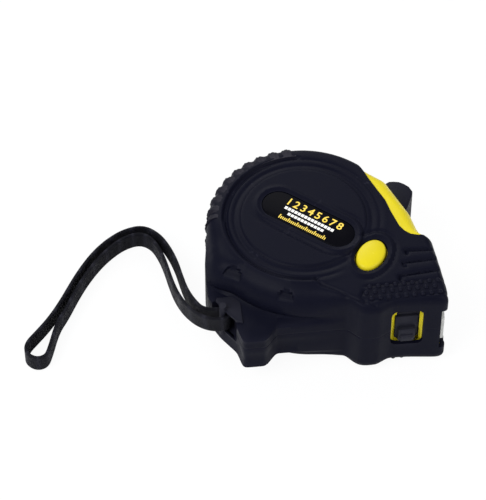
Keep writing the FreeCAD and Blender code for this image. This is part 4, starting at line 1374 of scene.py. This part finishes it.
@dataclass
class Strap:
    """The wrist strap: a flat woven band in two strands that meet at the far fold.

    Attributes:
        width: Width of the band, in mm.
        wall: Thickness of the band, in mm.
    """

    width: float = 7.0
    wall: float = 1.3

    def route(self, name: str, points: Sequence[Point3]) -> np.ndarray:
        """Smooth a strand's control points through a NURBS spline.

        Args:
            name: The strand's name.
            points: Control points, in mm.

        Returns:
            Points along the spline, in mm.
        """
        curve = bpy.data.curves.new(name + "_route", "CURVE")
        curve.dimensions = "3D"
        curve.resolution_u = 10
        spline = curve.splines.new("NURBS")
        spline.points.add(len(points) - 1)
        for target, point in zip(spline.points, points):
            target.co = (*(value * MM for value in point), 1.0)
        spline.order_u = 3
        spline.use_endpoint_u = True
        holder = bpy.data.objects.new(name + "_route", curve)
        line = bpy.data.meshes.new_from_object(holder)
        path = np.array([tuple(vertex.co) for vertex in line.vertices]) / MM
        bpy.data.objects.remove(holder)
        bpy.data.meshes.remove(line)
        bpy.data.curves.remove(curve)
        return path

    def band(self, name: str, path: np.ndarray) -> bpy.types.Object:
        """Sweep the band's section along a path.

        Args:
            name: The piece's name.
            path: Points along the middle line, in mm.

        Returns:
            The band.
        """
        tangent = np.gradient(path, axis=0)
        tangent /= np.linalg.norm(tangent, axis=1, keepdims=True)
        up = np.array([0.0, 0.0, 1.0]) - tangent * tangent[:, 2:3]
        up /= np.linalg.norm(up, axis=1, keepdims=True)
        side = np.cross(tangent, up)
        half_w, half_t = self.width / 2.0, self.wall / 2.0
        section = [(-half_w, 0.0), (-half_w + 0.12, -half_t * 0.7), (-half_w + 0.5, -half_t)]
        section += [(value, -half_t) for value in np.linspace(-half_w + 1.3, half_w - 1.3, 7)]
        section += [(half_w - 0.5, -half_t), (half_w - 0.12, -half_t * 0.7)]
        section += [(-a, -b) for a, b in section]
        section += section[:1]
        rows = [path + up * a + side * b for a, b in section]
        points = np.stack(rows, axis=0)
        first = np.broadcast_to(path[0], points[:, :1].shape)
        last = np.broadcast_to(path[-1], points[:, :1].shape)
        return loft(name, np.concatenate([first, points, last], axis=1), 60.0)

    def build(self) -> None:
        """Build both strands."""
        near: list[Point3] = [
            (-32.6, -25.45, 18.0), (-36.6, -25.45, 18.0), (-39.9, -19.4, 16.4),
            (-41.8, -11.5, 13.0), (-42.8, -2.4, 9.4), (-43.7, 6.2, 6.4), (-45.6, 14.4, 4.4),
            (-48.6, 21.2, 3.6), (-53.9, 25.4, 3.6), (-60.8, 24.2, 3.6), (-67.0, 20.3, 3.6),
            (-72.3, 15.2, 3.6), (-76.9, 8.9, 3.6), (-80.8, 2.4, 3.6), (-84.8, -5.0, 3.6),
            (-89.4, -12.2, 3.6), (-94.2, -17.9, 3.6), (-98.0, -22.2, 3.6), (-98.3, -26.4, 3.6),
            (-95.3, -29.2, 3.6), (-91.7, -28.6, 3.6), (-90.1, -25.0, 3.6), (-88.5, -19.6, 3.6)]
        far: list[Point3] = [
            (-32.6, -25.45, 18.0), (-28.45, -25.45, 18.0), (-28.45, -29.75, 18.0),
            (-34.4, -29.75, 18.0), (-39.2, -26.2, 17.0), (-42.9, -19.6, 14.8),
            (-45.2, -11.4, 11.8), (-46.5, -2.4, 8.6), (-47.4, 6.0, 6.0), (-48.9, 13.8, 4.2),
            (-51.2, 19.6, 3.6), (-55.2, 22.4, 3.6), (-60.4, 21.2, 3.6), (-65.3, 17.9, 3.6),
            (-70.3, 13.0, 3.6), (-75.1, 6.6, 3.6), (-79.5, -0.9, 3.6), (-83.3, -8.6, 3.6),
            (-87.0, -14.54, 3.6), (-88.5, -19.6, 3.6)]
        for name, points in (("near", near), ("far", far)):
            path = self.route(name, points)
            band = self.band("strap_%s_band" % name, path)
            length = float(np.linalg.norm(np.diff(path, axis=0), axis=1).sum()) * MM
            ribs = 2.0 * math.pi * round(length / MM / 1.1)
            material = banded(STRAP_CLOTH, "webbing_" + name, ribs, 0.00012)
            finish_piece(band, material, Body.CASE, Slot.STRAP, "strap_%s_strand" % name)
            LOG.info("%s strand: %.1f mm", name, length / MM)


# --- studio ----------------------------------------------------------------------------------


@dataclass
class Studio:
    """Camera, pale floor and soft lights.

    Attributes:
        target: Point that the camera looks at, in mm.
        azimuth: Camera azimuth, in degrees.
        elevation: Camera elevation, in degrees.
        distance: Camera distance, in metres.
        lens: Focal length, in mm, on a 36 mm wide sensor.
    """

    target: Point3 = (-22.14, -12.80, 36.0)
    azimuth: float = -6.0
    elevation: float = 51.0
    distance: float = 0.9
    lens: float = 196.7

    def build_camera(self) -> None:
        """Place the camera."""
        side, rise = math.radians(self.azimuth), math.radians(self.elevation)
        back = Vector((math.sin(side) * math.cos(rise), -math.cos(side) * math.cos(rise),
                       math.sin(rise)))
        data = bpy.data.cameras.new("camera")
        data.sensor_fit = "HORIZONTAL"
        data.sensor_width = 36.0
        data.lens = self.lens
        data.clip_start = 0.01
        data.clip_end = 20.0
        camera = bpy.data.objects.new("camera", data)
        camera.location = Vector(self.target) * MM + back * self.distance
        camera.rotation_euler = back.to_track_quat("Z", "Y").to_euler()
        bpy.context.scene.collection.objects.link(camera)
        bpy.context.scene.camera = camera

    def build_floor(self) -> None:
        """Lay a pale floor that the camera sees as nearly white."""
        deselect()
        bpy.ops.mesh.primitive_plane_add(size=6.0)
        floor = bpy.context.object
        floor.name = "studio_floor"
        floor.location = (0.0, 0.0, START_BOUNDS[0][2] - 0.0002)
        material = bpy.data.materials.new("pale floor")
        material.use_nodes = True
        nodes, links = material.node_tree.nodes, material.node_tree.links
        shader = nodes["Principled BSDF"]
        shader.inputs["Base Color"].default_value = (0.86, 0.86, 0.87, 1.0)
        shader.inputs["Roughness"].default_value = 0.9
        glow = nodes.new("ShaderNodeEmission")
        glow.inputs["Color"].default_value = (1.0, 1.0, 1.0, 1.0)
        mix = nodes.new("ShaderNodeMixShader")
        path = nodes.new("ShaderNodeLightPath")
        share = math_node(material, "MULTIPLY", path.outputs["Is Camera Ray"], 0.93)
        links.new(share, mix.inputs[0])
        links.new(shader.outputs[0], mix.inputs[1])
        links.new(glow.outputs[0], mix.inputs[2])
        links.new(mix.outputs[0], nodes["Material Output"].inputs["Surface"])
        floor.data.materials.append(material)

    def build_lights(self) -> None:
        """Hang three soft panels."""
        for name, spot, size, power in (("key", (-0.55, -0.35, 0.75), 0.6, 8.0),
                                        ("fill", (0.65, -0.55, 0.55), 0.7, 4.0),
                                        ("rim", (-0.15, 0.75, 0.55), 0.7, 5.0)):
            data = bpy.data.lights.new(name, "AREA")
            data.shape = "SQUARE"
            data.size = size
            data.energy = power
            light = bpy.data.objects.new(name, data)
            light.location = spot
            light.rotation_euler = Vector(spot).to_track_quat("Z", "Y").to_euler()
            bpy.context.scene.collection.objects.link(light)

    def build_world(self) -> None:
        """Surround the set with even light that the camera sees as white."""
        world = bpy.data.worlds.new("studio")
        world.use_nodes = True
        bpy.context.scene.world = world
        nodes, links = world.node_tree.nodes, world.node_tree.links
        soft = nodes["Background"]
        soft.inputs["Color"].default_value = (0.93, 0.95, 1.0, 1.0)
        soft.inputs["Strength"].default_value = 0.55
        white = nodes.new("ShaderNodeBackground")
        white.inputs["Color"].default_value = (1.0, 1.0, 1.0, 1.0)
        path = nodes.new("ShaderNodeLightPath")
        mix = nodes.new("ShaderNodeMixShader")
        links.new(path.outputs["Is Camera Ray"], mix.inputs[0])
        links.new(soft.outputs[0], mix.inputs[1])
        links.new(white.outputs[0], mix.inputs[2])
        links.new(mix.outputs[0], nodes["World Output"].inputs["Surface"])

    def build(self) -> None:
        """Build the studio."""
        self.build_camera()
        self.build_floor()
        self.build_lights()
        self.build_world()
        bpy.context.scene.view_settings.view_transform = "Standard"


def main() -> None:
    """Build the studio, the strap and every sub-assembly."""
    logging.basicConfig(level=logging.INFO)
    Studio().build()
    Strap().build()
    Case(CaseOutline(), Openings(), Tread()).build()
    Controls().build()
    BladeAndReel().build()


if __name__ == "__main__":
    main()
